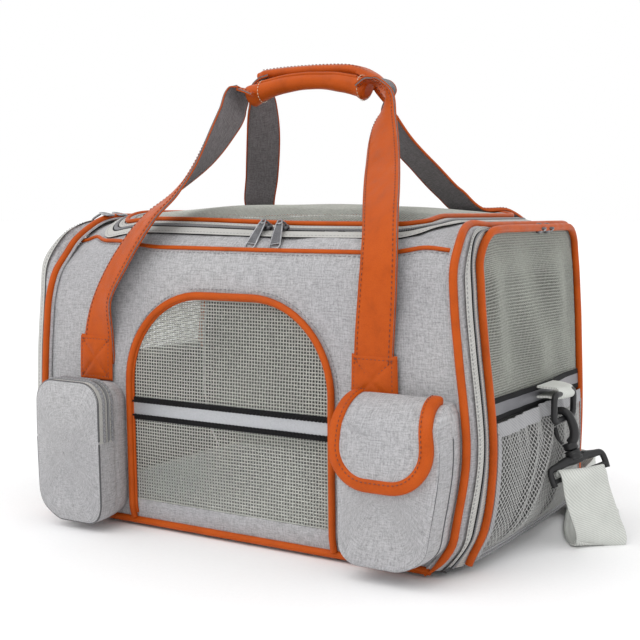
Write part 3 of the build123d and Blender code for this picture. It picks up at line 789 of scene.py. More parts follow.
def plastic(name, colour, roughness=0.38):
    """Moulded plastic: a fine spark texture, with faint scuffs that change the gloss."""
    look = Look(name, roughness, specular=0.5)
    where = look.solid_map()
    spark = look.noise(where, 2200.0, 2.0)
    scuff = look.noise(look.solid_map((1, 1, 6)), 70.0, 5.0, 0.7)
    look.colour(look.ramp(scuff, [(0.45, colour), (0.75, tuple(c + 0.006 for c in colour))]))
    look.rough_patches(scuff, (0.35, roughness - 0.06), (0.7, roughness + 0.16))
    look.bump(spark, 0.00006, 0.5)
    return look.material


def metal(name, colour, roughness=0.3):
    """Plated metal with fine brushing and slightly rubbed patches."""
    look = Look(name, roughness, metallic=1.0)
    brushed = look.noise(look.solid_map((1, 1, 14)), 900.0, 3.0)
    rubbed = look.noise(look.solid_map(), 160.0, 3.0)
    look.colour(look.ramp(rubbed, [(0.4, colour), (0.75, tint(colour, 1.5))]))
    look.rough_patches(brushed, (0.3, roughness - 0.08), (0.7, roughness + 0.12))
    look.bump(brushed, 0.00004, 0.5)
    return look.material


def reflective(name, colour):
    """Silver reflective tape: fine glass beading."""
    look = Look(name, 0.34, metallic=0.35, specular=0.6)
    beads = look.cells(look.solid_map(), 1900.0)
    look.colour(look.ramp(beads, [(0.1, tint(colour, 1.12)), (0.7, tint(colour, 0.85))]))
    look.bump(beads, 0.00006, 0.6)
    return look.material


def fleece(name, colour):
    """Short plush pile."""
    look = Look(name, 0.95, sheen=0.6, specular=0.1)
    pile = look.noise(look.solid_map(), 900.0, 6.0, 0.75)
    tufts = look.noise(look.solid_map(), 120.0, 3.0)
    look.colour(look.mix(0.4, look.ramp(pile, [(0.3, tint(colour, 0.75)), (0.7, tint(colour, 1.1))]),
                         look.ramp(tufts, [(0.3, tint(colour, 0.85)), (0.7, tint(colour, 1.08))])))
    look.bump(pile, 0.0012, 0.8)
    return look.material


GREY = heather("grey_heather", (0.440, 0.436, 0.448))
INSIDE = heather("grey_lining", (0.11, 0.11, 0.105), contrast=0.16)
DARK_GREY = heather("strap_backing", (0.178, 0.166, 0.172), contrast=0.38)
ORANGE = leather("orange_leather", (0.50, 0.083, 0.006))
ORANGE_EDGE = leather("orange_edge", (0.45, 0.075, 0.006), 0.5)
THREAD = thread_look("brown_thread", (0.20, 0.036, 0.010))
PALE_THREAD = thread_look("pale_thread", (0.72, 0.60, 0.42))
GREY_THREAD = thread_look("grey_thread", (0.26, 0.26, 0.27))
MESH = yarn("window_mesh", (0.44, 0.45, 0.41))
END_MESH = yarn("end_mesh", (0.33, 0.34, 0.305))
NET = yarn("pocket_net", (0.40, 0.40, 0.39), 0.12)
TAPE = woven_tape("zipper_tape", (0.50, 0.495, 0.47))
COIL = plastic("zipper_coil", (0.23, 0.23, 0.24), 0.45)
# near-black lines along the pockets' seams and folds: painted shade in the creases
SEAM_SHADE = thread_look("painted_seam_shade", (0.085, 0.085, 0.090))
BINDING = woven_tape("pocket_binding", (0.36, 0.36, 0.37), 1 / 0.0016)
WEBBING = woven_tape("webbing", (0.62, 0.635, 0.60), 1 / 0.0013)
# black tape for the strips' edges; in the zippers the same black is painted shade beside the coils and along the
# tapes' outer edges
BLACK_TAPE_AND_ZIP_SHADE = woven_tape("black_tape_and_zip_shade", (0.010, 0.010, 0.011), sheen=0.0)
SILVER = reflective("reflective_silver", (0.46, 0.47, 0.49))
# the end doors' reflective tape: the front strip's silver made darker, painted shade for the shadowed ends
SHADED_SILVER = reflective("shaded_end_silver", (0.16, 0.16, 0.175))
BLACK = plastic("black_plastic", (0.008, 0.008, 0.009), 0.42)
GUNMETAL = metal("gunmetal", (0.115, 0.115, 0.122))
BRIGHT = metal("bright_rim", (0.27, 0.27, 0.28), 0.22)
FLEECE = fleece("fleece", (0.50, 0.49, 0.47))
HOOK_LOOP = fleece("hook_and_loop", (0.74, 0.66, 0.50))
BOARD = plastic("board", (0.045, 0.045, 0.047), 0.6)


# ---------------------------------------------------------------- camera, light and floor

def aim(azimuth, elevation):
    """Unit vector from the object towards a viewer at that azimuth and elevation, in degrees."""
    a, e = math.radians(azimuth), math.radians(elevation)
    return Vector((math.sin(a) * math.cos(e), -math.cos(a) * math.cos(e), math.sin(e)))


def make_camera():
    back = aim(31.5, 5.33)
    data = bpy.data.cameras.new("camera")
    data.lens = 65.13
    data.clip_end = 30
    camera = bpy.data.objects.new("camera", data)
    camera.rotation_mode = "QUATERNION"
    camera.location = (0.5476, -0.8926, 0.2693)
    camera.rotation_quaternion = (-back).to_track_quat("-Z", "Y")
    bpy.context.scene.collection.objects.link(camera)
    bpy.context.scene.camera = camera


def sun(name, azimuth, elevation, strength, spread):
    """A broad soft light from one direction, spread over that many degrees."""
    data = bpy.data.lights.new(name, "SUN")
    data.energy = strength
    data.angle = math.radians(spread)
    light = bpy.data.objects.new(name, data)
    towards = aim(azimuth, elevation)
    light.location = towards * 3
    light.rotation_mode = "QUATERNION"
    light.rotation_quaternion = towards.to_track_quat("Z", "Y")
    bpy.context.scene.collection.objects.link(light)


def make_studio():
    world = bpy.data.worlds.new("studio")
    world.use_nodes = True
    world.node_tree.nodes["Background"].inputs["Color"].default_value = (1.0, 1.0, 1.0, 1.0)
    world.node_tree.nodes["Background"].inputs["Strength"].default_value = 1.0
    bpy.context.scene.world = world
    bpy.context.scene.view_settings.view_transform = "Standard"
    sun("key", -15, 55, 0.85, 50)
    floor = Piece()
    reach = 30.0
    floor.grid([[Vector((x, y, 0)) for x in steps(-reach, reach, 12)] for y in steps(-reach, reach, 12)])
    look = Look("pale_floor", 0.8, specular=0.1)
    paper = look.noise(look.solid_map(), 300.0, 3.0)
    look.colour(look.ramp(paper, [(0.3, (0.95, 0.95, 0.955)), (0.7, (0.97, 0.97, 0.975))]))
    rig.stage(floor.make("floor", [look.material]))


make_camera()
make_studio()


# ---------------------------------------------------------------- shoulder strap, a flat cord

STRAP_WIDTH = 0.045
STRAP_THICK = 0.0021
HOOK_PLACE = Matrix.Translation((0.2465, 0, 0.0600)) @ Matrix.Rotation(math.radians(-21.7), 4, "Y")
HOOK_PLACE = HOOK_PLACE @ Matrix.Scale(0.95, 4)
HOOK_TURN = math.radians(57.8)
FAR_PLACE = Matrix.Translation((0.070, 0.206, 0.0073)) @ Matrix.Rotation(math.pi / 2, 4, "Y")
FAR_PLACE = FAR_PLACE @ Matrix.Rotation(math.pi / 2, 4, "Z")


def spline_line(route):
    """Points of a NURBS line with the route's points as its control points."""
    data = bpy.data.curves.new("route", "CURVE")
    data.dimensions = "3D"
    spline = data.splines.new("NURBS")
    spline.points.add(len(route) - 1)
    for point, place in zip(spline.points, route):
        point.co = (*place, 1.0)
    spline.order_u = 3
    spline.use_endpoint_u = True
    spline.resolution_u = 24
    curve = bpy.data.objects.new("route", data)
    line = [v.co.copy() for v in bpy.data.meshes.new_from_object(curve).vertices]
    bpy.data.objects.remove(curve)
    return line


def make_shoulder_strap():
    """Ribbed webbing: down from the right hook, folded at the floor, then on edge to the far hook behind."""
    route = [
        (0.2455, 0.0015, 0.0590), (0.2465, 0.0000, 0.0645), (0.2510, -0.0030, 0.0610),
        (0.2535, -0.0015, 0.0440), (0.2600, 0.0040, 0.0220), (0.2640, 0.0060, 0.0035),
        (0.2590, 0.0080, 0.0002), (0.2480, 0.0280, 0.0016), (0.2380, 0.0550, 0.0018),
        (0.2290, 0.0850, 0.0022), (0.2230, 0.1150, 0.0150), (0.2160, 0.1430, 0.0225),
        (0.1900, 0.1670, 0.0225), (0.1200, 0.1700, 0.0225), (-0.0200, 0.1650, 0.0225),
        (-0.1400, 0.1690, 0.0225), (-0.1630, 0.1860, 0.0225), (-0.1460, 0.2060, 0.0225),
        (-0.0600, 0.2065, 0.0225), (-0.0120, 0.2060, 0.0150), (0.0100, 0.2060, 0.0080),
        (0.0676, 0.2060, 0.0073),
    ]
    line = spline_line(route)
    drop_dir = Vector((math.cos(HOOK_TURN), math.sin(HOOK_TURN), 0))
    widths, normals = [], []
    lengths = [0.0]
    for a, b in zip(line, line[1:]):
        lengths.append(lengths[-1] + (b - a).length)
    total = lengths[-1]
    upright = Vector((0, 0, -1))
    flat_far = Vector((0, 1, 0))
    for i in range(len(line)):
        along = (line[min(i + 1, len(line) - 1)] - line[max(i - 1, 0)]).normalized()
        near = smooth((lengths[i] - 0.050) / 0.035)          # through the fold on the floor
        turn = smooth((lengths[i] - 0.155) / 0.080)          # then up on edge
        far = smooth((total - 0.055 - lengths[i]) / 0.060)   # 0 where it lies flat at the far hook
        wide = drop_dir.lerp(Vector((0.877, 0.48, 0)), near).lerp(upright, turn)
        if far < 0.999:
            wide = flat_far.lerp(upright, far)
        wide = (wide - along * wide.dot(along)).normalized()
        widths.append(wide)
        normals.append(wide.cross(along).normalized())
    strap = Piece()
    strap.ribbon(line, widths, normals, STRAP_WIDTH, STRAP_THICK, ribs=12)
    made = strap.make("shoulder_strap", [WEBBING], slot="webbing",
                      stands_for=["shoulder_strap_drop", "shoulder_strap_stored"])
    return made, line, total


# ---------------------------------------------------------------- hooks and rings

def placed(line, place):
    return [place @ Vector(p) for p in line]


def make_swivel(name, node, body, place):
    """T-bar of the snap hook: barrel with rings, arms with down-turned prongs, and the crossbar."""
    piece = Piece()
    arm = curve_through([(-0.0288, 0, -0.0040), (-0.0292, 0, 0.004), (-0.0272, 0, 0.0098),
                         (-0.018, 0, 0.0112), (-0.008, 0, 0.0128)], 20)
    thick = [0.0026 + 0.0012 * smooth((i - 8) / 12) for i in range(21)]
    for side in (1, -1):
        line = [Vector((p.x * side, p.y, p.z)) for p in arm]
        piece.tube(placed(line, place), thick, sides=10, flat=0.95)
    web = [Vector((x, 0, 0.0118)) for x in steps(-0.020, 0.020, 8)]
    web_sizes = [0.0030 + 0.0020 * (1 - abs(i - 4) / 4) for i in range(9)]
    piece.tube(placed(web, place), web_sizes, sides=10, flat=0.8)
    bar = [Vector((x, 0, 0)) for x in steps(-0.0285, 0.0285, 8)]
    piece.tube(placed(bar, place), 0.0019, sides=10)
    profile = [(0.0112, 0.0040), (0.0116, 0.0062), (0.0124, 0.0068), (0.0138, 0.0068), (0.0144, 0.0061),
               (0.0152, 0.0061), (0.0158, 0.0068), (0.0172, 0.0068), (0.0178, 0.0061), (0.0186, 0.0061),
               (0.0192, 0.0068), (0.0198, 0.0064), (0.0200, 0.0040)]
    piece.tube(placed([Vector((0, 0, z)) for z, _ in profile], place), [r for _, r in profile], sides=28)
    return piece.make(name, [BLACK], body, "black_plastic", [node])


def make_hook(name, node, body, place):
    """Hook body: stem, curved shank, crown and nose, one swept moulding."""
    piece = Piece()
    stem = [(0.0203, 0.0045), (0.0206, 0.0057), (0.0222, 0.0060), (0.0238, 0.0056), (0.0250, 0.0060),
            (0.0262, 0.0057), (0.0268, 0.0042)]
    piece.tube(placed([Vector((0, 0, z)) for z, _ in stem], place), [r for _, r in stem], sides=24)
    line = curve_through([(0.0010, 0, 0.0262), (0.0052, 0, 0.0292), (0.0078, 0, 0.0350),
                          (0.0084, 0, 0.0420), (0.0074, 0, 0.0490), (0.0040, 0, 0.0538),
                          (-0.0010, 0, 0.0552), (-0.0056, 0, 0.0532), (-0.0080, 0, 0.0490),
                          (-0.0082, 0, 0.0436)], 46)
    sizes = [0.0040 - 0.0012 * smooth(i / 46) - 0.0008 * smooth((i - 40) / 6) for i in range(47)]
    piece.tube(placed(line, place), sizes, sides=14)
    return piece.make(name, [BLACK], body, "black_plastic", [node])


def make_gate(name, node, body, place):
    """Springy gate lever between the stem and the nose."""
    piece = Piece()
    line = curve_through([(-0.0062, 0, 0.0272), (-0.0080, 0, 0.0310), (-0.0084, 0, 0.0360),
                          (-0.0076, 0, 0.0424)], 16)
    piece.tube(placed(line, place), [0.0012 + 0.0009 * hump(i, 12, 8) for i in range(17)], sides=10)
    return piece.make(name, [BLACK], body, "black_plastic", [node])


def make_adjuster():
    """Plastic slide adjuster that the stored strap passes through."""
    piece = Piece()
    low, high = lo("strap_adjuster"), hi("strap_adjuster")
    middle = (low + high) / 2
    bar = 0.0021
    half_z = (high.z - low.z) / 2 - bar
    half_x = (high.x - low.x) / 2 - bar
    frame_line = [middle + Vector((a, 0, b)) for a, b in loop(half_x, half_z, 0.004, 0.002)]
    for off in (-0.0030, 0.0030):
        piece.tube([p + Vector((0, off, 0)) for p in frame_line], bar * 0.75, closed=True, sides=8)
    for side in (-1, 1):
        line = [middle + Vector((side * half_x, y, 0)) for y in steps(-0.003, 0.003, 2)]
        for z in steps(-half_z, half_z, 12):
            piece.tube([p + Vector((0, 0, z)) for p in line], bar * 0.8, sides=6)
    return piece.make("strap_slide_adjuster", [BLACK], "root", "black_plastic", ["strap_adjuster"])


def make_rings():
    """Moulded rectangular strap rings."""
    for name in ("right", "left"):
        low, high = lo(f"{name}_strap_ring"), hi(f"{name}_strap_ring")
        middle = (low + high) / 2
        bar = 0.0026
        piece = Piece()
        line = [middle + Vector((0, a, b)) for a, b in
                loop((high.y - low.y) / 2 - bar, (high.z - low.z) / 2 - bar, 0.0055, 0.0018)]
        piece.tube(line, bar, closed=True, sides=14)
        piece.make(f"{name}_ring", [BLACK], f"{name}_ring", "black_plastic", [f"{name}_strap_ring"])


def make_strap_set():
    strap, line, total = make_shoulder_strap()
    turned = HOOK_PLACE @ Matrix.Rotation(HOOK_TURN, 4, "Z")
    near = [
        make_swivel("right_swivel", "right_swivel_base", "right_door", turned),
        make_hook("right_hook", "right_snap_hook", "right_snap_hook", HOOK_PLACE),
        make_gate("right_gate", "right_hook_gate", "right_hook_gate", HOOK_PLACE),
    ]
    far = [
        make_swivel("left_swivel", "left_swivel_base", "root", FAR_PLACE),
        make_hook("left_hook", "left_snap_hook", "left_snap_hook", FAR_PLACE),
        make_gate("left_gate", "left_hook_gate", "left_hook_gate", FAR_PLACE),
    ]
    adjuster = make_adjuster()
    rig.blend(strap, "root", "right_door", start=(0.262, 0.010, 0.002), end=(0.262, -0.0188, 0.0404))
    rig.cord(strap, exit=line[0], length=total, diameter=STRAP_WIDTH, far_end="connector", stiffness="limp",
            lay="loose", path=line, with_pieces=near + far + [adjuster])


# ---------------------------------------------------------------- panels

ARCH = Outline(ARCH_HALF - 0.002, ARCH_FOOT + 0.012, ARCH_TOP - 0.002, ARCH_R - 0.002)
TOP_DOOR_X = hi("top_door_piping").x - 0.0025       # line of the door's piping
TOP_DOOR_Y = hi("top_door_piping").y - 0.0025
TOP_DOOR_R = 0.019


def cloth_panel(name, node, s_range, cut=None):
    """Part of the bag's skin as quilted cloth, with an opening cut along an outline in (x, girth)."""
    step = 0.003
    columns = steps(-PANEL_X, PANEL_X, round(2 * PANEL_X / step))
    rows = steps(*s_range, round((s_range[1] - s_range[0]) / step))
    places = [[cut.snap(x, s, step * 0.6) if cut else (x, s) for x in columns] for s in rows]

    def keep(i, j):
        if cut is None:
            return True
        a = sum(places[i + m][j + n][0] for m in (0, 1) for n in (0, 1)) / 4
        b = sum(places[i + m][j + n][1] for m in (0, 1) for n in (0, 1)) / 4
        return cut.distance(a, b) > 0

    piece = Piece()
    lines = []
    for row in places:
        line = []
        for x, s in row:
            edge = min(1.0, (PANEL_X - abs(x)) / 0.02, (s - s_range[0]) / 0.012, (s_range[1] - s) / 0.012)
            wave = 0.0009 * ripple(x, s, 0.045) + 0.0005 * ripple(x + 4, s, 0.017)
            line.append(skin(x, s, wave * smooth(edge)))
        lines.append(line)
    piece.grid(lines, keep=keep)
    return piece.make(name, [GREY, INSIDE], "root", "grey_heather", [node], thick=CLOTH, lining=1)


def make_panels():
    """Front, back and top cloth."""
    window = Outline(ARCH.half, ARCH.foot - FOOT_Z, ARCH.top - FOOT_Z, ARCH.top_r)
    cloth_panel("front_cloth", "front_panel", (0, SEAM_S), window)
    cloth_panel("back_cloth", "back_panel", (GIRTH - SEAM_S, GIRTH))
    opening = Outline(TOP_DOOR_X, girth_at(-TOP_DOOR_Y), girth_at(TOP_DOOR_Y), TOP_DOOR_R, TOP_DOOR_R)
    cloth_panel("top_cloth", "top_frame", (SEAM_S, GIRTH - SEAM_S), opening)


def make_base():
    """Base cloth with its bound edge, and the fleece mat inside."""
    piece = Piece()
    rows = []
    for inset, z in ((0.006, 0.0056), (0.0015, 0.0056), (0.0, 0.0042), (0.0, 0.0016), (0.0018, 0.0002),
                     (0.006, 0.0), (0.05, 0.0), (0.10, 0.0), (0.137, 0.0)):
        outline = loop(PANEL_X - 0.022 - inset, HALF_Y - 0.010 - inset, max(0.004, 0.036 - inset), 0.006)
        rows.append([Vector((a, b, z)) for a, b in loop_like(outline, len(rows) and len(rows[0]))])
    piece.grid(rows, wrap=True)
    piece.face(list(rows[0]))
    piece.face(list(reversed(rows[-1])))
    piece.make("base_cloth", [DARK_GREY], "root", "grey_heather", ["base_panel"])
    low, high = lo("padded_mat"), hi("padded_mat")
    mat = Piece()
    half_x, half_y, mid_z = high.x, high.y, (low.z + high.z) / 2
    rise = (high.z - low.z) / 2
    for face in (1, -1):
        rows = []
        for v in steps(-1, 1, 64):
            row = []
            for u in steps(-1, 1, 92):
                edge = (1 - abs(u) ** 14) ** 0.35 * (1 - abs(v) ** 10) ** 0.35
                quilt = 0.0012 * (abs(math.sin(u * 4 * math.pi)) * abs(math.sin(v * 3 * math.pi))) ** 0.5
                row.append(Vector((u * half_x, v * half_y, mid_z + face * (rise - 0.0015 + quilt) * edge)))
            rows.append(row if face > 0 else list(reversed(row)))
        mat.grid(rows)
    mat_piece = mat.make("inner_mat", [FLEECE], "root", "fleece", ["padded_mat"])
    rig.padded(mat_piece, 0.45)


def loop_like(points, count):
    """The closed line resampled to count points, or as it is if count is 0."""
    if not count:
        return points
    lengths = [0.0]
    closed = points + points[:1]
    for (a, b), (c, d) in zip(closed, closed[1:]):
        lengths.append(lengths[-1] + math.hypot(c - a, d - b))
    out, k = [], 0
    for i in range(count):
        want = lengths[-1] * i / count
        while lengths[k + 1] < want:
            k += 1
        t = (want - lengths[k]) / (lengths[k + 1] - lengths[k])
        (a, b), (c, d) = closed[k], closed[k + 1]
        out.append((a + (c - a) * t, b + (d - b) * t))
    return out


def end_point(side, a, b, x):
    """A point of an end wall after the bag settles. The left end swells out past its piping."""
    deep = -WALL_ARCH.distance(a, b)
    if side < 0:
        swell = 0.017 * smooth((deep + 0.001) / 0.013) - 0.011 * smooth((deep - 0.016) / 0.022)
        x += swell * smooth((b - 0.02) / 0.07)
    else:
        x -= 0.002 * smooth(deep / 0.030)
        raised = 0.0065 + END_SAG * smooth((a + 0.110) / 0.050)
        b += raised * smooth((b - 0.17) / 0.06) * smooth(deep / 0.014)
    top = DOOR_TOP + 0.0035
    if b > top - 0.03:
        b += 0.004 * hump(b, top + 0.002, 0.032)
    return settle((side * x, a, b))


WALL_ARCH = Outline(HALF_Y, -0.05, TOP_Z, SHOULDER_R, 0.001)
OUTER_ARCH = (HALF_Y + 0.0015, 0.006, TOP_Z + 0.0015, SHOULDER_R + 0.0015)
INNER_ARCH = (DOOR_HALF_Y + 0.0010, 0.006, DOOR_TOP + 0.0015, 0.029)


def between(share):
    """The arch outline that lies at a share of the way from the outer to the inner edge of an end band."""
    outer, inner = arch(*OUTER_ARCH), arch(*INNER_ARCH)
    return [(a + (c - a) * share, b + (d - b) * share) for (a, b), (c, d) in zip(outer, inner)]


def make_end_bands():
    """Cloth band at each end, between the outer piping and the door."""
    profile = [(-0.03, -0.004), (0.0, 0.0), (0.035, 0.0035), (0.10, 0.0062), (0.22, 0.0075), (0.45, 0.0078),
               (0.75, 0.0078), (1.0, 0.0074), (1.10, 0.0040)]
    piece = Piece()
    for side in (1, -1):
        rows = [[end_point(side, a, b, PANEL_X + x) for a, b in between(share)] for share, x in profile]
        if side > 0:
            rows.reverse()
        piece.grid(rows)
    piece.make("end_band_cloth", [GREY, INSIDE], "root", "grey_heather", ["end_bands"],
               thick=0.0015, lining=1)


# ---------------------------------------------------------------- piping

def make_piping():
    """All the leather piping that is sewn into the body."""
    ends = Piece()
    for side in (1, -1):
        line = []
        for a, b in arch(HALF_Y + 0.0026, 0.002, TOP_Z + 0.0026, SHOULDER_R + 0.003):
            line.append(end_point(side, a, b, PANEL_X + 0.0016))
        last = len(line) - 1
        sizes = [PIPING_R * (0.3 + 0.7 * smooth(min(i, last - i) / 4)) for i in range(last + 1)]
        ends.tube(line, sizes, sides=14)
    ends.make("end_frame_welt", [ORANGE, THREAD], "root", "orange_leather", ["end_frame_piping"])

    base = Piece()
    for face in (1, -1):
        line = []
        for x in steps(-PANEL_X - 0.001, PANEL_X + 0.001, 90):
            p = skin(x, 0.0012, 0.0012)
            line.append(Vector((p.x, p.y * face, p.z)))
        base.tube(line, 0.0030, sides=12)
    base.make("base_welt", [ORANGE], "root", "orange_leather", ["base_piping"])

    seams = Piece()
    for s in (SEAM_S, GIRTH - SEAM_S):
        face = 1 if s < GIRTH / 2 else -1
        rise = [face * (0.020 * smooth((-x - 0.07) / 0.12) + 0.010 * smooth((abs(x) - 0.14) / 0.05))
                for x in steps(-PANEL_X, PANEL_X, 120)]
        line = [skin(x, s + r, 0.0008) for x, r in zip(steps(-PANEL_X, PANEL_X, 120), rise)]
        seams.tube(line, 0.0017, sides=10)
        below = s - 0.0042 * face
        line = [skin(x, below + r, 0.0003) for x, r in zip(steps(-PANEL_X, PANEL_X, 120), rise)][2:-2]
        seams.stitches(line, (skin(0, below, 0.01) - skin(0, below)).normalized(), paint=1)
    seams.make("top_seam_welt", [ORANGE, GREY_THREAD], "root", "orange_leather", ["top_seam_piping"])

    window = Piece()
    outline = arch(ARCH_HALF, ARCH_FOOT - 0.004, ARCH_TOP, ARCH_R)
    line = [settle((a, -HALF_Y - 0.0022, b)) for a, b in outline]
    window.tube(line, 0.0028, sides=14)
    flange = [settle((a, -HALF_Y - 0.0004, b)) for a, b in
              arch(ARCH_HALF - 0.0028, ARCH_FOOT, ARCH_TOP - 0.0028, ARCH_R - 0.0028)]
    window.tube(flange, 0.0014, sides=8, flat=0.5)
    stitch_line = [settle((a, -HALF_Y - 0.0003, b)) for a, b in
                   arch(ARCH_HALF + 0.0052, ARCH_FOOT, ARCH_TOP + 0.0052, ARCH_R + 0.0052)]
    window.stitches(stitch_line, Vector((0, -1, 0)), paint=1)
    window.make("front_window_welt", [ORANGE, GREY_THREAD], "root", "orange_leather", ["front_window_piping"])


# ---------------------------------------------------------------- mesh windows

def make_front_window():
    """Arch window: coarse woven mesh with a reflective strip across it."""
    depth = -HALF_Y + 0.0012

    def surface(x, z):
        d = max(0.0, -ARCH.distance(x, z))
        slack = 0.0012 * ripple(x, z, 0.06) * smooth(d / 0.03)
        return settle((x, depth + slack, z)), Vector((0, -1, 0))

    mesh = Piece()
    mesh.weave(surface, ARCH.distance, (-ARCH_HALF, ARCH_HALF), (ARCH.foot - 0.002, ARCH_TOP),
               MESH_PITCH, MESH_THREAD, margin=-0.0025)
    mesh.make("front_window_weave", [MESH], "root", "window_mesh", ["front_window_mesh"], smooth_faces=False)

    low, high = lo("front_reflective_strip"), hi("front_reflective_strip")
    strip = Piece()
    edge = 0.0042
    rows = [low.z, low.z + edge, low.z + edge, high.z - edge, high.z - edge, high.z]
    for paint, (z0, z1) in ((1, rows[0:2]), (0, rows[2:4]), (1, rows[4:6])):
        lines = []
        for z in steps(z0, z1, 4):
            lines.append([settle((x, -HALF_Y - 0.0006 - 0.0004 * ripple(x, z, 0.03), z))
                          for x in steps(-ARCH_HALF + 0.001, ARCH_HALF - 0.001, 80)])
        strip.grid(lines, paint)
    for z in (low.z + edge - 0.0007, high.z - edge + 0.0007):
        line = [settle((x, -HALF_Y - 0.0010, z)) for x in steps(-ARCH_HALF + 0.002, ARCH_HALF - 0.002, 80)]
        strip.stitches(line, Vector((0, -1, 0)), **FINE_STITCH, paint=1)
    strip.make("front_window_strip", [SILVER, BLACK_TAPE_AND_ZIP_SHADE], "root", "reflective", ["front_reflective_strip"],
               thick=0.0009)


def top_door_height(x, y):
    """Crown of the top door over its edge, with slack ripples."""
    u, v = min(1, abs(x) / TOP_DOOR_X), min(1, abs(y) / TOP_DOOR_Y)
    crown = 0.0085 * (1 - u ** 2.4) * (1 - v ** 2.4)
    return crown + 0.0012 * ripple(x, y, 0.07) * (1 - u ** 4) * (1 - v ** 4)


def make_top_door():
    """Mesh top door with its leather piping."""
    opening = Outline(TOP_DOOR_X, -TOP_DOOR_Y, TOP_DOOR_Y, TOP_DOOR_R, TOP_DOOR_R)

    def surface(x, y):
        p = skin(x, girth_at(y), 0.0012 + top_door_height(x, y))
        return p, Vector((0, 0, 1))

    mesh = Piece()
    mesh.weave(surface, opening.distance, (-TOP_DOOR_X, TOP_DOOR_X), (-TOP_DOOR_Y, TOP_DOOR_Y),
               MESH_PITCH, MESH_THREAD, margin=-0.001)
    mesh.make("top_door_weave", [MESH], "top_door", "window_mesh", ["top_door_mesh"], smooth_faces=False)

    edge = Piece()
    ring = [skin(x, girth_at(y), 0.0028) for x, y in loop(TOP_DOOR_X, TOP_DOOR_Y, TOP_DOOR_R, 0.005)]
    edge.tube(ring, 0.0022, closed=True, sides=12, up=(0, 0, 1))
    inner = [skin(x, girth_at(y), 0.0022) for x, y in
             loop(TOP_DOOR_X - 0.0045, TOP_DOOR_Y - 0.0045, TOP_DOOR_R - 0.004, 0.005)]
    edge.tube(inner, 0.0026, 1, closed=True, sides=8, flat=0.4, up=(0, 0, 1))
    edge.make("top_door_welt", [ORANGE, BINDING], "top_door", "orange_leather", ["top_door_piping"])


def door_surface(side, a, b, out=0.0):
    """The outer face of an end door at (y, z), with the mesh's soft folds in its upper part."""
    window = Outline(DOOR_HALF_Y, 0.118, DOOR_TOP, 0.028)
    inner = smooth(-window.distance(a, b) / 0.035)
    folds = math.sin((a * 0.9 + (b - 0.12) * 0.35) * 95) * 0.0017
    folds += math.sin((a - (b - 0.12) * 0.5 + 3 * (b - 0.2) ** 2) * 47 + 1.0) * 0.0024
    return end_point(side, a, b, DOOR_X - 0.0028 + out + folds * inner)


def make_end_doors():
    for side, name in ((1, "right"), (-1, "left")):
        make_end_door(side, name)


def make_end_door(side, name):
    """One end door: mesh window, cloth lower part, piping, reflective strip, net pocket and ring loop."""
    body = f"{name}_door"
    outward = Vector((side, 0, 0))
    window = Outline(DOOR_HALF_Y + 0.001, 0.118, DOOR_TOP + 0.001, 0.029)

    mesh = Piece()
    mesh.weave(lambda a, b: (door_surface(side, a, b), outward), window.distance,
               (-DOOR_HALF_Y - 0.001, DOOR_HALF_Y + 0.001), (0.120, DOOR_TOP + 0.001), 0.0020, 0.00050)
    mesh.make(f"{name}_door_weave", [END_MESH], body, "window_mesh", [f"{name}_door_mesh"],
              smooth_faces=False)

    cloth = Piece()
    rows = []
    for b in steps(DOOR_LOW, 0.124, 30):
        rows.append([door_surface(side, a * side, b, -0.0005 + 0.0008 * ripple(a, b, 0.03))
                     for a in steps(-DOOR_HALF_Y, DOOR_HALF_Y, 60)])
    cloth.grid(rows)
    cloth.make(f"{name}_door_cloth", [INSIDE], body, "grey_heather", [f"{name}_door_panel"], thick=0.0015)

    edge = Piece()
    outline = arch(DOOR_HALF_Y + 0.0034, 0.007, DOOR_TOP + 0.0034, 0.0314)
    edge.tube([end_point(side, a, b, DOOR_X + 0.0004) for a, b in outline], PIPING_R, sides=14)
    edge.make(f"{name}_door_welt", [ORANGE], body, "orange_leather", [f"{name}_door_piping"])

    make_door_strip(side, name, body)
    make_net_pocket(side, name, body)
    make_ring_loop(side, name, body)


def strip_lift(a):
    """How far the ring loop pulls the strip and the net's binding up and out, at depth a."""
    return hump(a, 0.004, 0.095)


def make_door_strip(side, name, body):
    """Reflective strip between black edges across the door."""
    low, high = 0.1135, 0.1305           # foot and top of the strip
    edge = 0.0042                        # height of each black edge
    piece = Piece()
    for paint, z0, z1 in ((1, low, low + edge), (0, low + edge, high - edge), (1, high - edge, high)):
        rows = []
        for b in steps(z0, z1, 4):
            row = []
            for a in steps(-DOOR_HALF_Y + 0.001, DOOR_HALF_Y - 0.001, 90):
                row.append(door_surface(side, a * side, b, 0.0022 + 0.0030 * strip_lift(a * side)
                                        + 0.0006 * ripple(a, b, 0.02)))
            rows.append(row)
        piece.grid(rows, paint)
    # the strip's silver is the darkened copy, painted shade
    piece.make(f"{name}_door_stripe", [SHADED_SILVER, BLACK_TAPE_AND_ZIP_SHADE], body, "reflective",
               [f"{name}_door_strip"], thick=0.0009)


def net_surface(side, a, b):
    """Gathered net pocket on the door: it bellies out, with folds that run down from the ring loop."""
    low, high = 0.010, 0.112
    t = max(0.0, min(1.0, (b - low) / (high - low)))
    across = max(0.0, 1 - (a / 0.101) ** 6)
    belly = 0.0085 * math.sin(math.pi * min(1.0, t * 0.92 + 0.04)) ** 0.7 * across
    fold = 0.0
    for start, slant, width, height in ((0.004, 0.62, 0.0075, 0.0042), (-0.030, 0.42, 0.0060, 0.0028),
                                        (0.030, 0.20, 0.0070, 0.0030)):
        centre = start - slant * (high - b)
        fold += height * math.exp(-((a - centre) / width) ** 2) * smooth(t / 0.15)
    fold += 0.0007 * math.sin(a * 420) * smooth((t - 0.6) / 0.4)
    fullness = 1.0 if side > 0 else 0.45         # the left net lies flatter
    proud = (belly + fold * across) * fullness
    return end_point(side, a, b, DOOR_X + 0.0008 + proud + 0.0030 * strip_lift(a) * t)


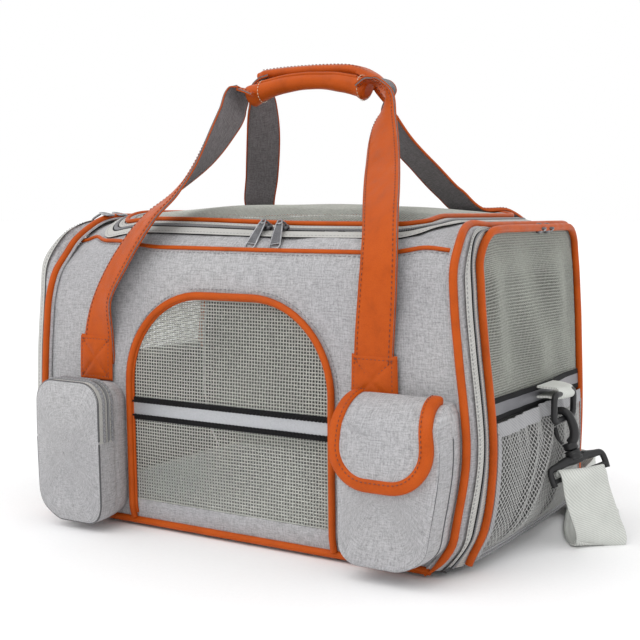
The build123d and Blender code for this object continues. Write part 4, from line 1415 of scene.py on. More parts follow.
def make_net_pocket(side, name, body):
    """Diagonal net with a pleated elastic binding along its top and a cloth hem."""
    pitch, thread = 0.0034, 0.00052
    squeeze, middle = 0.82, 0.058        # the diamonds are taller than wide
    root2 = math.sqrt(2)
    area = Outline(0.100, 0.009, 0.106, 0.002)

    def diagonal(u, v):
        return (u - v) / root2 * squeeze, (u + v) / root2 + middle

    net = Piece()
    net.weave(lambda u, v: (net_surface(side, *diagonal(u, v)), Vector((side, 0, 0))),
              lambda u, v: area.distance(*diagonal(u, v)),
              (-0.125, 0.125), (-0.125, 0.125), pitch, thread)
    net.make(f"{name}_net", [NET], body, "pocket_net", [f"{name}_net_pocket"], smooth_faces=False)

    binding = Piece()
    rows = []
    for b in steps(0.1035, 0.1140, 8):
        row = []
        for a in steps(-0.100, 0.100, 110):
            pucker = 0.0005 * math.sin(a * 520 + b * 60) * (1 - abs(b - 0.109) / 0.0075)
            p = net_surface(side, a * side, min(b, 0.112))
            y = end_point(side, a * side, b, 0).y
            z = b + 0.004 * (strip_lift(a * side) - 0.35)
            row.append(Vector((p.x + side * (0.0012 + pucker), y, z)))
        rows.append(row)
    binding.grid(rows)
    hem, proud = [], Vector((side * 0.0012, 0, 0))
    for b in steps(0.0075, 0.0135, 4):
        hem.append([net_surface(side, a * side, b) + proud for a in steps(-0.100, 0.100, 60)])
    binding.grid(hem)
    for face in (-1, 1):
        rows = []
        for k in steps(0, 0.004, 2):
            rows.append([net_surface(side, face * (0.0975 + k), b) + Vector((side * 0.001, 0, 0))
                         for b in steps(0.010, 0.104, 30)])
        if face * side < 0:
            rows.reverse()
        binding.grid(rows)
    line = [p + Vector((side * 0.0004, 0, 0)) for p in hem[len(hem) // 2]]
    binding.stitches(line, Vector((side, 0, 0)), paint=1)
    binding.make(f"{name}_net_binding", [BINDING, GREY_THREAD], body, "pocket_net", thick=0.0009)


def make_ring_loop(side, name, body):
    """Webbing loop sewn to the strip that carries the strap ring."""
    low, high = lo(f"{name}_ring_tab"), hi(f"{name}_ring_tab")
    top, bottom = high.z - 0.001, low.z + 0.001
    reach = max(abs(low.x), abs(high.x)) - 0.001
    start = end_point(side, 0.0, 0.124, DOOR_X + 0.004).x * side
    profile = curve_through([(start - 0.001, 0, bottom + 0.0012), (start + 0.008, 0, bottom + 0.0014),
                             (reach - 0.0045, 0, bottom), (reach - 0.0008, 0, (top + bottom) / 2 - 0.001),
                             (reach - 0.0040, 0, top - 0.0010), (start + 0.010, 0, top + 0.0004),
                             (start - 0.001, 0, top + 0.001)], 48)
    line = [Vector((p.x * side, 0.0, p.z)) for p in profile]
    piece = Piece()
    rows = []
    for i, p in enumerate(line):
        row = []
        for a in steps(-0.0185, 0.0185, 24):
            cup = 0.0030 * (a / 0.0185) ** 2 * hump(i, 24, 20)
            droop = -0.0018 * (a / 0.0185) * hump(i, 24, 22)
            row.append(p + Vector((0, a + 0.004, droop)) - Vector((side * cup, 0, 0)))
        rows.append(row if side > 0 else list(reversed(row)))
    piece.grid(rows)
    piece.make(f"{name}_ring_loop", [WEBBING], body, "webbing", [f"{name}_ring_tab"], thick=0.0016)


# ---------------------------------------------------------------- zippers

def teeth(piece, left, right, outs, paint=0):
    """Coil turns across a closed zipper, between two lines. outs is one outward direction or a list."""
    pitch = 0.0013
    if isinstance(outs, Vector):
        outs = [outs] * len(left)
    travelled, nearest = 0.0, 0.0
    for i in range(len(left) - 1):
        run = (left[i + 1] - left[i]).length
        while nearest <= travelled + run and run > 1e-7:
            t = (nearest - travelled) / run
            a = left[i].lerp(left[i + 1], t)
            b = right[i].lerp(right[i + 1], t)
            skew = (left[i + 1] - left[i]).normalized() * 0.0004
            middle = (a + b) / 2 + outs[i] * 0.0007
            piece.tube([a - skew, middle, b + skew], [0.00036, 0.00052, 0.00036], paint, sides=5, caps=False)
            nearest += pitch
        travelled += run


def make_zippers():
    """Tapes and coils of the top zipper and both end zippers. The inner tapes move with the doors."""
    tapes, coils, door_tape = Piece(), Piece(), Piece()
    door_looks = [TAPE, BLACK_TAPE_AND_ZIP_SHADE, GREY_THREAD]
    inner_x, outer_x = TOP_DOOR_X + 0.0030, hi("top_zipper_tape").x + 0.001
    inner_y, outer_y = TOP_DOOR_Y + 0.0030, -lo("top_zipper_tape").y + 0.011
    back_y = hi("top_zipper_tape").y

    def top_line(share, out):
        half_x = inner_x + (outer_x - inner_x) * share
        front = inner_y + (outer_y - inner_y) * share
        radius = TOP_DOOR_R + 0.003 + 0.008 * share
        outline = arch(half_x, -back_y, front, radius)
        return [skin(a, girth_at(-b), out) for a, b in outline]

    door_tape.grid([top_line(s, 0.0014 + 0.0006 * hump(s, 0.5, 0.25)) for s in steps(0.0, 0.27, 3)], 0)
    # black band wider than the coil: painted shade at the coil's sides
    door_tape.grid([top_line(s, 0.0012) for s in steps(0.25, 0.44, 2)], 1)
    tapes.grid([top_line(s, 0.0014 + 0.0006 * hump(s, 0.5, 0.25)) for s in steps(0.60, 1.0, 3)], 0)
    # black band on the body side, wider than the coil: painted shade at the coil's sides
    tapes.grid([top_line(s, 0.0009) for s in steps(0.40, 0.62, 2)], 1)
    # black wall at the tape's outer edge: painted shadow line
    tapes.grid([top_line(1.0, out) for out in (0.0014, 0.0004)], 1)
    up = Vector((0, 0, 1))
    teeth(coils, top_line(0.34, 0.0018), top_line(0.53, 0.0018), up)
    for piece, s in ((door_tape, 0.12), (tapes, 0.88)):
        piece.stitches(top_line(s, 0.0014), up, **FINE_STITCH, paint=2)
    door_tape.make("top_door_tape", door_looks, "top_door", "zipper_tape", thick=0.0006)

    for side, name in ((1, "right"), (-1, "left")):
        def end_line(share, out):
            line = [end_point(side, a, b, BAND_X + out) for a, b in between(share)]
            return line if side > 0 else list(reversed(line))
        door_tape = Piece()
        for piece, s0, s1 in ((tapes, 0.09, 0.46), (door_tape, 0.62, 0.97)):
            piece.grid([end_line(s, 0.0012 + 0.0006 * hump(s, 0.56, 0.14)) for s in steps(s0, s1, 3)], 0)
        # black bands wider than the end coils: painted shade at the coils' sides
        tapes.grid([end_line(s, 0.0009) for s in steps(0.42, 0.58, 2)], 1)
        door_tape.grid([end_line(s, 0.0012) for s in steps(0.53, 0.64, 2)], 1)
        outward = Vector((side, 0, 0))
        teeth(coils, end_line(0.49, 0.0020), end_line(0.59, 0.0020), outward)
        for piece, s in ((tapes, 0.16), (door_tape, 0.885)):
            piece.stitches(end_line(s, 0.0016), outward, **FINE_STITCH, paint=2)
        door_tape.make(f"{name}_door_tape", door_looks, f"{name}_door", "zipper_tape", thick=0.0006)
    tapes.make("zip_tapes", [TAPE, BLACK_TAPE_AND_ZIP_SHADE, GREY_THREAD], "root", "zipper_tape",
               ["top_zipper_tape", "end_zipper_tapes"])
    coils.make("zip_coils", [COIL], "root", "zipper_coil", ["zipper_coils"])


def slider_body(piece, place):
    """Slider: a waisted shell with a bridge. Own frame: X along the zipper, Z away from the tape."""
    outline = []
    for k in range(28):
        t = 2 * math.pi * k / 28
        x = 0.0056 * math.copysign(abs(math.cos(t)) ** 0.7, math.cos(t))
        y = (0.0042 - 0.0010 * math.cos(t)) * math.copysign(abs(math.sin(t)) ** 0.7, math.sin(t))
        outline.append((x, y))
    rows = []
    shell = ((0.90, 0.0), (1.0, 0.0005), (1.0, 0.0022), (0.94, 0.0030), (0.80, 0.0034), (0.4, 0.0036))
    for scale, z in shell:
        rows.append([place @ Vector((x * scale, y * scale, z)) for x, y in outline])
    piece.grid(rows, wrap=True)
    piece.face(list(reversed(rows[0])))
    piece.face(list(rows[-1]))
    bridge = curve_through([(-0.0036, 0, 0.0032), (-0.0030, 0, 0.0056), (0, 0, 0.0066), (0.0030, 0, 0.0056),
                            (0.0036, 0, 0.0032)], 16)
    piece.tube(placed(bridge, place), 0.0009, sides=8)


def pull_tab(piece, place, length):
    """Pull along +X of its frame: an open frame with a thinner plate inside and a slot at the far end."""
    neck, wide = 0.0026, 0.0046
    side = []
    for t in steps(0, 1, 10):
        side.append((0.001 + (length - wide - 0.001) * t, neck + (wide - neck) * t ** 0.8))
    far = [(length - wide + wide * math.sin(t), wide * math.cos(t)) for t in steps(0, math.pi, 10)][1:-1]
    outline = side + far + [(x, -y) for x, y in reversed(side)]
    piece.tube(placed([Vector((x, y, 0)) for x, y in outline], place), 0.00075, 1, sides=8, closed=True)
    cut = length - wide * 1.35
    rows = []
    for z in (-0.00035, 0.00035):
        for x in steps(0.0015, cut, 8) if z < 0 else reversed(steps(0.0015, cut, 8)):
            share = x / (length - wide)
            half = neck + (wide - neck) * min(1.0, share) ** 0.8
            rows.append([place @ Vector((x, y, z)) for y in steps(-half, half, 4)])
    rows.append(rows[0])
    piece.grid(rows)
    bar = [Vector((cut, y, 0)) for y in steps(-wide * 0.98, wide * 0.98, 4)]
    piece.tube(placed(bar, place), 0.0007, 1, sides=6)
    eye, round_eye = 0.0022, steps(0, 2 * math.pi, 14)[:-1]
    ring = [Vector((-0.0004 + eye * math.cos(t), eye * math.sin(t), 0)) for t in round_eye]
    piece.tube(placed(ring, place), 0.0007, 1, sides=8, closed=True)


def frame_of(origin, along, out):
    """A frame with X along and Z near out."""
    x = Vector(along).normalized()
    z = Vector(out)
    z = (z - x * z.dot(x)).normalized()
    y = z.cross(x)
    rows = Matrix((x, y, z)).transposed().to_4x4()
    return Matrix.Translation(Vector(origin)) @ rows


def make_sliders():
    """Sliders and pulls of the top, end and pocket zippers."""
    for name in ("left", "right"):
        node = f"top_slider_{name}"
        low, high = lo(node), hi(node)
        x = (low.x + high.x) / 2
        seat = skin(x, girth_at(low.y - 0.001), 0.0022)
        out = skin(x, girth_at(low.y - 0.001), 0.01) - seat
        piece = Piece()
        slider_body(piece, frame_of(seat, (1, 0, 0), out))
        piece.make(f"{node}_body", [GUNMETAL], node, "gunmetal", [node])
        pull = Piece()
        top = seat + out.normalized() * 0.0062 + Vector((0, -0.003, 0))
        leans = Vector((0.006 if name == "right" else -0.003, -0.0180, -0.0230))
        pull_tab(pull, frame_of(top, leans, (0, -0.7, 0.7)), 0.028)
        pull_node = f"top_pull_{name}"
        pull.make(f"{pull_node}_tab", [GUNMETAL, BRIGHT], pull_node, "gunmetal", [pull_node])
    for name, side in (("right", 1), ("left", -1)):
        for which in ("front", "back"):
            node = f"{name}_door_slider_{which}"
            low, high = lo(node), hi(node)
            y = (low.y + high.y) / 2
            line = between(0.56)
            b = max(z for a, z in line if abs(a - y) < 0.01)
            seat = end_point(side, y, b, BAND_X + 0.0022)
            piece = Piece()
            slider_body(piece, frame_of(seat, (0, 1, 0), (side, 0, 0)))
            rise = 0.0005 if side > 0 else 0.0120
            start = seat + Vector((side * 0.0050, 0, -0.0020))
            over = Vector((seat.x - side * 0.0060, seat.y, seat.z + rise))
            neck = curve_through([start, start + Vector((side * 0.0010, 0, rise * 0.5 + 0.0015)), over], 10)
            piece.tube(neck, 0.0011, 1, sides=8)
            along = (-side, 0.10, -0.04) if side > 0 else (-side, -0.62, -0.10)
            pull_tab(piece, frame_of(over, along, (0, 0, 1)), 0.027)
            piece.make(f"{node}_body", [GUNMETAL, BRIGHT], node, "gunmetal", [node])
    node = "zip_pocket_slider"
    low, high = lo(node), hi(node)
    seat = Vector((high.x - 0.0002, (low.y + high.y) / 2, (low.z + high.z) / 2))
    piece = Piece()
    slider_body(piece, frame_of(seat, (0, 0, 1), (-1, 0, 0)))
    pull_tab(piece, frame_of(seat + Vector((-0.0052, 0, 0)), (-0.12, 0, -1), (-1, 0, 0)), 0.022)
    piece.make(f"{node}_body", [GUNMETAL, BRIGHT], node, "gunmetal", [node])


# ---------------------------------------------------------------- pockets

def pocket_rings(x_range, z_range, front_y, corner, crown, marks=(), flare=0.0):
    """Rings of points of a puffy box pocket, from the panel forward and in to the middle of its face."""
    back_y = -HALF_Y + 0.001
    cx, cz = sum(x_range) / 2, sum(z_range) / 2
    half_x, half_z = (x_range[1] - x_range[0]) / 2, (z_range[1] - z_range[0]) / 2
    deep = back_y - front_y
    outline = loop(half_x, half_z, corner, 0.0022)
    depths = sorted(steps(0.0, 0.965, 26) + [(back_y - y) / deep for y in marks])
    profile = [(flare * (1 - d) - 0.0014 * math.sin(math.pi * d / 0.965) + 0.0007 * hump(d, 0.45, 0.08), d)
               for d in depths]
    profile += [(0.0010, 0.969), (0.0011, 0.974), (0.0001, 0.978), (0.0003, 0.988), (0.0014, 0.997),
                (0.0034, 1.0)]
    rings = []
    for inset, depth in profile:
        narrow, low, y = 1 - inset / half_x, 1 - inset / half_z, back_y - deep * depth
        rings.append([(a * narrow, b * low, y) for a, b in outline])
    for share in steps(0.0, 1.0, 24)[1:]:
        scale = 1 - share * 0.985
        swell = crown * (1 - (1 - share) ** 2.2)
        ring = []
        for a, b in outline:
            u, v = a * (1 - 0.0034 / half_x) * scale, b * (1 - 0.0034 / half_z) * scale
            ring.append((u, v, front_y - swell - 0.0007 * ripple(u, v, 0.02) * smooth(share * 4)))
        rings.append(ring)
    rings = [[Vector((cx + a, y, cz + b)) for a, b, y in ring] for ring in rings]
    return rings, rings[len(depths)]


def pocket_settle(p):
    """Pockets hang from the panel, so they follow the panel's own settling at their place."""
    base = Vector((p.x, -HALF_Y, p.z))
    return p + (settle(base) - base)


def quad_centre(rings, i, j):
    """Middle of one quad between two rings."""
    k = (j + 1) % len(rings[0])
    return (rings[i][j] + rings[i][k] + rings[i + 1][j] + rings[i + 1][k]) / 4


def make_zip_pocket():
    """Puffy box pocket with a zipper over its top and down both sides."""
    low, high = lo("zip_pocket_body"), hi("zip_pocket_body")
    drop = 0.005
    top = hi("zip_pocket_cover").z - drop
    cover_low, zip_y = lo("zip_pocket_cover").z - drop, hi("zip_pocket_cover").y - 0.006
    coil, tape = 0.0010, 0.0060
    marks = [zip_y + off for off in (-tape, -coil, 0.0, coil, tape)]
    rings, seam = pocket_rings((low.x + 0.004, high.x + 0.005), (low.z - drop, top + 0.004),
                               low.y + 0.003, 0.018, 0.0045, marks, flare=0.0045)
    settled = [[pocket_settle(p) for p in ring] for ring in rings]
    face_y = low.y + 0.0045
    front_tape = 0.0125

    def paint(i, j):
        p = quad_centre(rings, i, j)
        if p.z < cover_low or p.y < face_y or not -front_tape < p.y - zip_y < tape:
            return 0
        return 2 if abs(p.y - zip_y) < coil else 1

    middle = Vector(((low.x + high.x) / 2, 0, (low.z + top) / 2))

    def outward(p):
        return (Vector((p.x, 0, p.z)) - middle).normalized()

    for name, node, body, front in (("zip_pocket_tub", "zip_pocket_body", "root", False),
                                    ("zip_pocket_front", "zip_pocket_cover", "zip_pocket_cover", True)):
        def belongs(p):
            return (p.z > cover_low and p.y < zip_y) == front
        piece = Piece()
        piece.grid(settled, paint, wrap=True, keep=lambda i, j: belongs(quad_centre(rings, i, j)))
        if front:
            ring = pocket_line(rings, zip_y - coil * 0.2, cover_low, 0.0)
            inner = pocket_line(rings, zip_y + coil * 1.1, cover_low, 0.0)
            outs = [outward(p) for p in ring]
            teeth(piece, [pocket_settle(p) for p in ring], [pocket_settle(p) for p in inner], outs, paint=2)
        side = -1 if front else 1
        line = pocket_line(rings, zip_y + side * tape * 0.86, cover_low, 0.0004)
        piece.stitches([pocket_settle(p) for p in line], [outward(p) for p in line], **FINE_STITCH, paint=3)
        # dark tube along the face seam: painted shade in the seam's crease
        for run in kept_runs(seam, belongs):
            piece.tube([pocket_settle(p + outward(p) * 0.0003) for p in run], 0.00035, 4, sides=6)
        piece.make(name, [GREY, TAPE, COIL, GREY_THREAD, SEAM_SHADE], body, "grey_heather", [node],
                   thick=0.0014)


def kept_runs(line, belongs):
    """The parts of a closed line whose points belong, each as one open run."""
    count = len(line)
    start = next((i for i in range(count) if not belongs(line[i])), 0)
    runs, run = [], []
    for k in range(count + 1):
        p = line[(start + k) % count]
        if belongs(p) and k < count:
            run.append(p)
        elif run:
            runs.append(run)
            run = []
    return [r for r in runs if len(r) > 2]


def pocket_line(rings, y, above, out):
    """The open line where the gusset crosses depth y, over the top, down to the height above."""
    for a, b in zip(rings, rings[1:]):
        if b[0].y <= y <= a[0].y:
            t = (a[0].y - y) / max(1e-9, a[0].y - b[0].y)
            ring = [p.lerp(q, t) for p, q in zip(a, b)]
            break
    cx = (max(p.x for p in ring) + min(p.x for p in ring)) / 2
    cz = (max(p.z for p in ring) + min(p.z for p in ring)) / 2
    run = kept_runs(ring, lambda p: p.z > above)[0]
    pushed = []
    for p in run:
        away = Vector((p.x - cx, 0, p.z - cz)).normalized()
        pushed.append(p + away * out)
    return pushed


def make_flap_pocket():
    """Box pocket on the right with a leather-bound flap."""
    low, high = lo("flap_pocket_body"), hi("flap_pocket_body")
    place = flap_place()
    rings, seam = pocket_rings((low.x - 0.005, high.x), (low.z, high.z + 0.010), low.y, 0.016, 0.004)

    def under(p):
        return Vector((p.x, p.y, min(p.z, flap_roof(p.y, place) - 0.0034)))

    settled = [[pocket_settle(under(p)) for p in ring] for ring in rings]
    piece = Piece()
    piece.grid(settled, wrap=True)
    middle = Vector(((low.x + high.x) / 2, 0, (low.z + high.z) / 2))
    outs = [(Vector((p.x, 0, p.z)) - middle).normalized() * 0.0003 for p in seam]
    # dark tube along the face seam: painted shade in the seam's crease
    for run in kept_runs([p + n for p, n in zip(seam, outs)], lambda p: p.z < 0.105):
        piece.tube([pocket_settle(p) for p in run], 0.0004, 1, sides=6)
    # dark tube along a gusset fold: painted shade in the fold
    for run in kept_runs(rings[12], lambda p: p.z < 0.112):
        piece.tube([pocket_settle(p) for p in run], 0.0004, 1, sides=5)
    piece.make("flap_pocket_box", [GREY, SEAM_SHADE], "root", "grey_heather", ["flap_pocket_body"],
               thick=0.0012)
    make_flap()


FLAP_BEND = 0.027


def flap_place():
    """Centre x, top height, face depth and hinge depth of the flap."""
    low, high = lo("pocket_flap"), hi("pocket_flap")
    return (low.x + high.x) / 2 - 0.002, high.z, low.y + 0.0005, high.y - 0.006


def flap_roof(y, place):
    """Height of the flap's underside at a depth."""
    top_z, face_y = place[1:3]
    start = face_y + FLAP_BEND
    if y > start:
        return top_z
    return top_z - FLAP_BEND + math.sqrt(max(0.0, FLAP_BEND ** 2 - (start - y) ** 2))


def flap_point(u, s, lift, centre_x, top_z, face_y, hinge_y):
    """A point of the flap: u across from its centre, s down from the hinge, lift above the cloth."""
    bend_r = FLAP_BEND
    roof = hinge_y - face_y - bend_r
    bend = bend_r * math.pi / 2
    belly = 0.0022 * math.sin(math.pi * min(1.0, max(0.0, (s - roof - bend) / 0.060)))
    curl = 0.0025 * (u / 0.04) ** 2
    if s < roof:
        return Vector((centre_x + u, hinge_y - s, top_z + lift - curl * s / roof * 0.4))
    if s < roof + bend:
        turn = (s - roof) / bend_r
        y = hinge_y - roof - (bend_r + lift) * math.sin(turn)
        z = top_z - bend_r + (bend_r + lift) * math.cos(turn)
        return Vector((centre_x + u, y + curl * 0.5, z - curl * 0.4))
    down = s - roof - bend
    return Vector((centre_x + u, face_y - lift - belly + curl * 0.6, top_z - bend_r - down))


def make_flap():
    """Cloth flap with stitched leather round its sides and tip."""
    low, high = lo("pocket_flap"), hi("pocket_flap")
    place = flap_place()
    top_z, face_y, hinge_y = place[1:]
    length = (hinge_y - face_y - FLAP_BEND) + FLAP_BEND * math.pi / 2 + (top_z - FLAP_BEND - low.z)
    half = (high.x - low.x) / 2 + 0.001
    rounding = 0.031

    def half_width(s, inset=0.0):
        """Half width of the flap at s, inset from its edge; 0 at the tip."""
        w = half - inset - 0.0050 * (1 - smooth(s / 0.050))
        tip = length - inset
        r = rounding - inset
        if s > tip - r:
            t = min(1.0, (s - (tip - r)) / r)
            w = w - r + r * math.sqrt(max(0.0, 1 - t * t))
            w *= 1.0 if t < 1 else 0.0
        return w

    cloth = Piece()
    rows = []
    tip_s = length - 0.0015
    samples = steps(0, length - rounding, 30) + [length - rounding + (rounding - 0.0015) * math.sin(t)
                                                 for t in steps(0, math.pi / 2, 16)][1:]
    for s in samples:
        w = half_width(min(s, tip_s), 0.001)
        across = [u * w for u in steps(1, -1, 30)]
        rows.append([flap_point(u, s, 0.0012 + 0.0004 * ripple(u, s, 0.02), *place) for u in across])
    cloth.grid(rows)
    cloth.make("pocket_flap_cloth", [GREY], "pocket_flap", "grey_heather", ["pocket_flap"], thick=0.0022)

    trim = Piece()
    width = 0.0085
    path = []
    for s in steps(0, length - rounding, 40)[:-1]:
        path.append((-half_width(s), s, 1.0, 0.0))
    flat_half = half_width(length - rounding) - rounding
    for t in steps(0, math.pi / 2, 20):
        path.append((-flat_half - rounding * math.cos(t), length - rounding + rounding * math.sin(t),
                     math.cos(t), -math.sin(t)))
    for u in steps(-flat_half, flat_half, 12)[1:-1]:
        path.append((u, length, 0.0, -1.0))
    path += [(-u, s, -nu, ns) for u, s, nu, ns in reversed(path[:len(path) - 11])]
    section = [(-0.0012, -0.0030), (-0.0016, 0.0), (-0.0012, 0.0022), (0.0006, 0.0031), (width * 0.5, 0.0033),
               (width - 0.0008, 0.0029), (width, 0.0014)]

    def along(a, lift):
        """The trim's line at a distance inside the flap's edge."""
        return [flap_point(u + nu * a, s + ns * a, lift, *place) for u, s, nu, ns in path]

    trim.grid([along(a, lift) for a, lift in section])
    trim.grid([along(width * 0.8, -0.0026), along(-0.0012, -0.0030)])
    line = along(width - 0.0024, 0.0033)
    normals = [Vector((0, 0, 1)) if p.z > top_z - 0.001 else Vector((0, -1, 0)) for p in line]
    trim.stitches(line, normals, pitch=0.0036, length=0.0023, radius=0.00045, paint=1)
    trim.make("pocket_flap_binding", [ORANGE, THREAD], "pocket_flap", "orange_leather",
              ["pocket_flap_trim"])


# ---------------------------------------------------------------- handles

STRAP_HALF = 0.016
PATCH_X = 0.136                          # middle of each handle patch
BOX_STITCH = 0.82                        # the patch's stitched box, as a share of its half size
GRIP_HALF = hi("front_handle_grip").x
FRONT_GRIP = (lo("front_handle_grip") + hi("front_handle_grip")) / 2
BACK_GRIP = (lo("back_handle_grip") + hi("back_handle_grip")) / 2


LEGS = {
    "front": (
        [(-0.1340, -0.1440, 0.140, 0), (-0.1330, -0.1460, 0.164, -4), (-0.1234, -0.1500, 0.199, -26),
         (-0.1018, -0.1500, 0.232, -25), (-0.0842, -0.1380, 0.263, -30), (-0.0765, -0.1120, 0.285, -46),
         (-0.0738, -0.0700, 0.319, -74), (-0.0750, -0.0350, 0.352, -88), (-0.0775, -0.0180, 0.3715, -92),
         (-0.0735, -0.0135, 0.3800, -92), (-0.0640, -0.0130, 0.3780, -90), (-0.0540, -0.0130, 0.3740, -90)],
        [(0.1360, -0.1440, 0.140, 0), (0.1370, -0.1465, 0.168, 0), (0.1410, -0.1500, 0.205, -3),
         (0.1420, -0.1490, 0.234, -8), (0.1320, -0.1280, 0.271, -18), (0.1045, -0.0750, 0.312, -24),
         (0.0860, -0.0400, 0.342, -36), (0.0800, -0.0220, 0.362, -56), (0.0745, -0.0150, 0.3770, -84),
         (0.0640, -0.0130, 0.3820, -92), (0.0530, -0.0130, 0.3760, -92)],
    ),
    "back": (
        [(-0.1360, 0.1440, 0.140, 0), (-0.1360, 0.1465, 0.168, 0), (-0.1370, 0.1490, 0.208, 0),
         (-0.1345, 0.1440, 0.248, 0), (-0.1290, 0.1150, 0.270, 2), (-0.1230, 0.0850, 0.2760, 4),
         (-0.1066, 0.0650, 0.306, 20), (-0.0880, 0.0400, 0.339, 45), (-0.0770, 0.0220, 0.368, 75),
         (-0.0740, 0.0160, 0.383, 88), (-0.0660, 0.0155, 0.391, 90), (-0.0550, 0.0155, 0.394, 90)],
        [(0.1360, 0.1440, 0.140, 0), (0.1360, 0.1465, 0.168, 0), (0.1370, 0.1490, 0.208, 0),
         (0.1340, 0.1440, 0.248, 0), (0.1220, 0.1150, 0.270, -5), (0.1094, 0.0850, 0.2720, -12),
         (0.0938, 0.0720, 0.2870, -15), (0.0782, 0.0550, 0.309, -15), (0.0640, 0.0320, 0.334, -20),
         (0.0590, 0.0200, 0.357, -45), (0.0560, 0.0160, 0.373, -80), (0.0490, 0.0150, 0.385, -90),
         (0.0380, 0.0150, 0.391, -90)],
    ),
}                                        # x, y, z and the turn of the width about Z, in degrees


def make_leg(piece, route, face):
    """One leather-faced strap with a cloth back, a row of stitches along each edge."""
    line = curve_through([p[:3] for p in route], 130)
    turns = curve_through([(p[3], 0, 0) for p in route], 130)
    widths, normals = [], []
    last = len(line) - 1
    for i, turn in enumerate(turns):
        along = (line[min(i + 1, last)] - line[max(i - 1, 0)]).normalized()
        angle = math.radians(turn.x)
        wide = Vector((math.cos(angle), math.sin(angle), 0))
        wide = (wide - along * wide.dot(along)).normalized()
        widths.append(wide)
        normals.append(wide.cross(along).normalized() * -face)
    if face > 0:
        widths = [-w for w in widths]
    piece.ribbon(line, widths, normals, 2 * STRAP_HALF, 0.0034, paints=(0, 1))
    for edge in (-1, 1):
        rim = [p + w * edge * (STRAP_HALF - 0.0026) + n * 0.0017 for p, w, n in zip(line, widths, normals)]
        piece.stitches(rim, normals, pitch=0.0040, length=0.0025, radius=0.00045, paint=2)
        side = [p + w * edge * (STRAP_HALF - 0.0002) - n * 0.0008 for p, w, n in zip(line, widths, normals)]
        piece.tube(side, 0.0007, 3, sides=6)


def make_handles():
    for name, face in (("front", -1), ("back", 1)):
        piece = Piece()
        for route in LEGS[name]:
            make_leg(piece, route, face)
        made = piece.make(f"{name}_handle_webbing", [ORANGE, DARK_GREY, THREAD, ORANGE_EDGE],
                          slot="orange_leather", stands_for=[f"{name}_handle_straps"])
        pivot = face * (HALF_Y + 0.0055)
        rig.blend(made, "root", f"{name}_handle", start=(0, pivot, 0.160), end=(0, pivot, 0.178))
    make_front_grip()
    make_back_grip()
    make_patches()


def make_front_grip():
    """Rolled leather grip: thick stitched rings at its ends, drawn in and arched at the middle."""
    centre = FRONT_GRIP
    piece = Piece()
    line, radii = [], []
    for x in steps(-GRIP_HALF, GRIP_HALF, 60):
        t = abs(x) / GRIP_HALF
        line.append(Vector((x - 0.004, centre.y, 0.3735 + 0.0105 * (1 - t ** 2))))
        end = smooth((t - 0.86) / 0.05)
        wave = 0.0004 * ripple(x, 0, 0.02)
        radii.append(0.0070 + 0.0024 * t ** 2 + 0.0008 * end + wave - 0.004 * smooth((t - 0.985) / 0.015))
    piece.tube(line, radii, sides=28, up=(0, 1, 0), flat=1.12)
    for x in (-GRIP_HALF * 0.84, GRIP_HALF * 0.84):
        i = min(range(len(line)), key=lambda k: abs(line[k].x - x))
        ring, normals = [], []
        for t in steps(0, 2 * math.pi, 40):
            n = Vector((0, math.cos(t), math.sin(t)))
            ring.append(line[i] + Vector((0, n.y * (radii[i] + 0.0008) * 1.05, n.z * (radii[i] + 0.0014))))
            normals.append(n)
        piece.stitches(ring, normals, pitch=0.0030, length=0.0022, radius=0.0004, paint=1)
    flap = [p + Vector((0, -0.0035, radii[i] * 0.98)) for i, p in enumerate(line)][5:-5]
    piece.tube(flap, 0.0016, 2, sides=8, flat=0.5)
    piece.make("front_grip_roll", [ORANGE, PALE_THREAD, ORANGE_EDGE], "front_handle", "orange_leather",
               ["front_handle_grip"])


def make_back_grip():
    """Padded leather band of the back handle, with a strip of hook and loop under its front edge."""
    centre = BACK_GRIP
    piece = Piece()
    depth = centre.y - 0.002
    line = curve_through([(-0.071, depth, 0.3945), (-0.040, depth, 0.3960), (0.0, depth, 0.3958),
                          (0.030, depth, 0.3935), (0.047, depth, 0.3860), (0.055, depth, 0.3770)], 60)
    radii = [0.0135 * (1 - 0.35 * smooth(1 - i / 4) - 0.35 * smooth(1 - (60 - i) / 4)) for i in range(61)]
    rows = []
    for i, p in enumerate(line):
        along = (line[min(i + 1, 60)] - line[max(i - 1, 0)]).normalized()
        up = Vector((0, 1, 0)).cross(along) * -1
        ring = []
        for k in range(28):
            t = 2 * math.pi * k / 28
            c, s = math.cos(t), math.sin(t)
            ring.append(p + Vector((0, 1, 0)) * math.copysign(abs(c) ** 0.75, c) * radii[i]
                        + up * math.copysign(abs(s) ** 0.85, s) * 0.0052 * min(1.0, radii[i] / 0.0118))
        rows.append(ring)
    piece.grid(rows, wrap=True)
    piece.face(list(reversed(rows[0])))
    piece.face(list(rows[-1]))
    strip = []
    for off in steps(-0.0125, -0.0065, 3):
        strip.append([p + Vector((0, off, -0.0052)) for p in line[4:-8]])
    piece.grid(strip, 1)
    lower = [[p + Vector((0, 0, -0.0016)) for p in row] for row in reversed(strip)]
    piece.grid(lower, 1)
    for off in (-0.0088, 0.0088):
        edge = [p + Vector((0, off, 0.0049)) for p in line[3:-4]]
        piece.stitches(edge, Vector((0, 0, 1)), pitch=0.0038, length=0.0024, radius=0.0004, paint=2)
    piece.make("back_grip_pad", [ORANGE, HOOK_LOOP, THREAD], "back_handle", "orange_leather",
               ["back_handle_grip"])


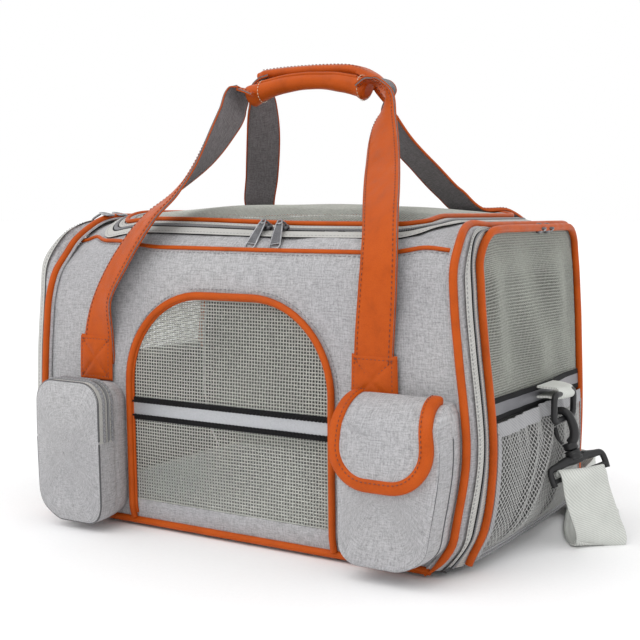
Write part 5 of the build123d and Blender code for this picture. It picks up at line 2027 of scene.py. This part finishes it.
def make_patches():
    """Box-stitched leather squares that sew the handle ends down."""
    piece = Piece()
    low_z, high_z = lo("handle_patches").z - 0.005, hi("handle_patches").z
    middle_z, half_z, half_x = (low_z + high_z) / 2, (high_z - low_z) / 2, 0.0180
    for face in (-1, 1):
        for side in (-1, 1):
            cx = side * PATCH_X

            def place(a, b, lift):
                p = settle((cx + a, -HALF_Y, middle_z + b))
                return Vector((p.x, (p.y - 0.0035 - lift) * -face, p.z))
            rows = []
            for b in steps(-half_z, half_z, 26):
                row = []
                for a in steps(-half_x, half_x, 26):
                    u, v = a / half_x, b / half_z
                    edge = 0.0024 * (1 - min(1.0, (1 - max(abs(u), abs(v))) / 0.06)) ** 2
                    crease = min(abs(u - v), abs(u + v)) * half_x / 1.41
                    dip = 0.0009 * math.exp(-(crease / 0.0016) ** 2) * (max(abs(u), abs(v)) < 0.80)
                    box = abs(max(abs(u), abs(v)) - BOX_STITCH) * half_x
                    dip += 0.0007 * math.exp(-(box / 0.0014) ** 2)
                    row.append(place(a, b, 0.0016 - edge - dip + 0.0008 * (1 - u * u) * (1 - v * v)))
                rows.append(row if face < 0 else list(reversed(row)))
            piece.grid(rows)
            k = BOX_STITCH
            corners = [(-k, -k), (k, -k), (k, k), (-k, k), (-k, -k), (k, k)], [(-k, k), (k, -k)]
            for path in corners:
                for (u0, v0), (u1, v1) in zip(path, path[1:]):
                    line = [place((u0 + (u1 - u0) * t) * half_x, (v0 + (v1 - v0) * t) * half_z, 0.0011)
                            for t in steps(0, 1, 12)]
                    piece.stitches(line, Vector((0, face, 0)), pitch=0.0034, length=0.0022,
                                   radius=0.00045, paint=1)
    piece.make("handle_patch_leather", [ORANGE, THREAD], "root", "orange_leather", ["handle_patches"])

make_strap_set()
make_rings()
make_panels()
make_base()
make_end_bands()
make_piping()
make_front_window()
make_top_door()
make_end_doors()
make_zippers()
make_sliders()
make_zip_pocket()
make_flap_pocket()
make_handles()

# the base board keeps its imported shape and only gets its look
frame["nodes"]["base_board"].data.materials.clear()
frame["nodes"]["base_board"].data.materials.append(BOARD)

with open("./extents.json", "w") as out:
    json.dump({"cad": CAD_BOX, "visual": [list(corner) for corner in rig.bounds()]}, out)
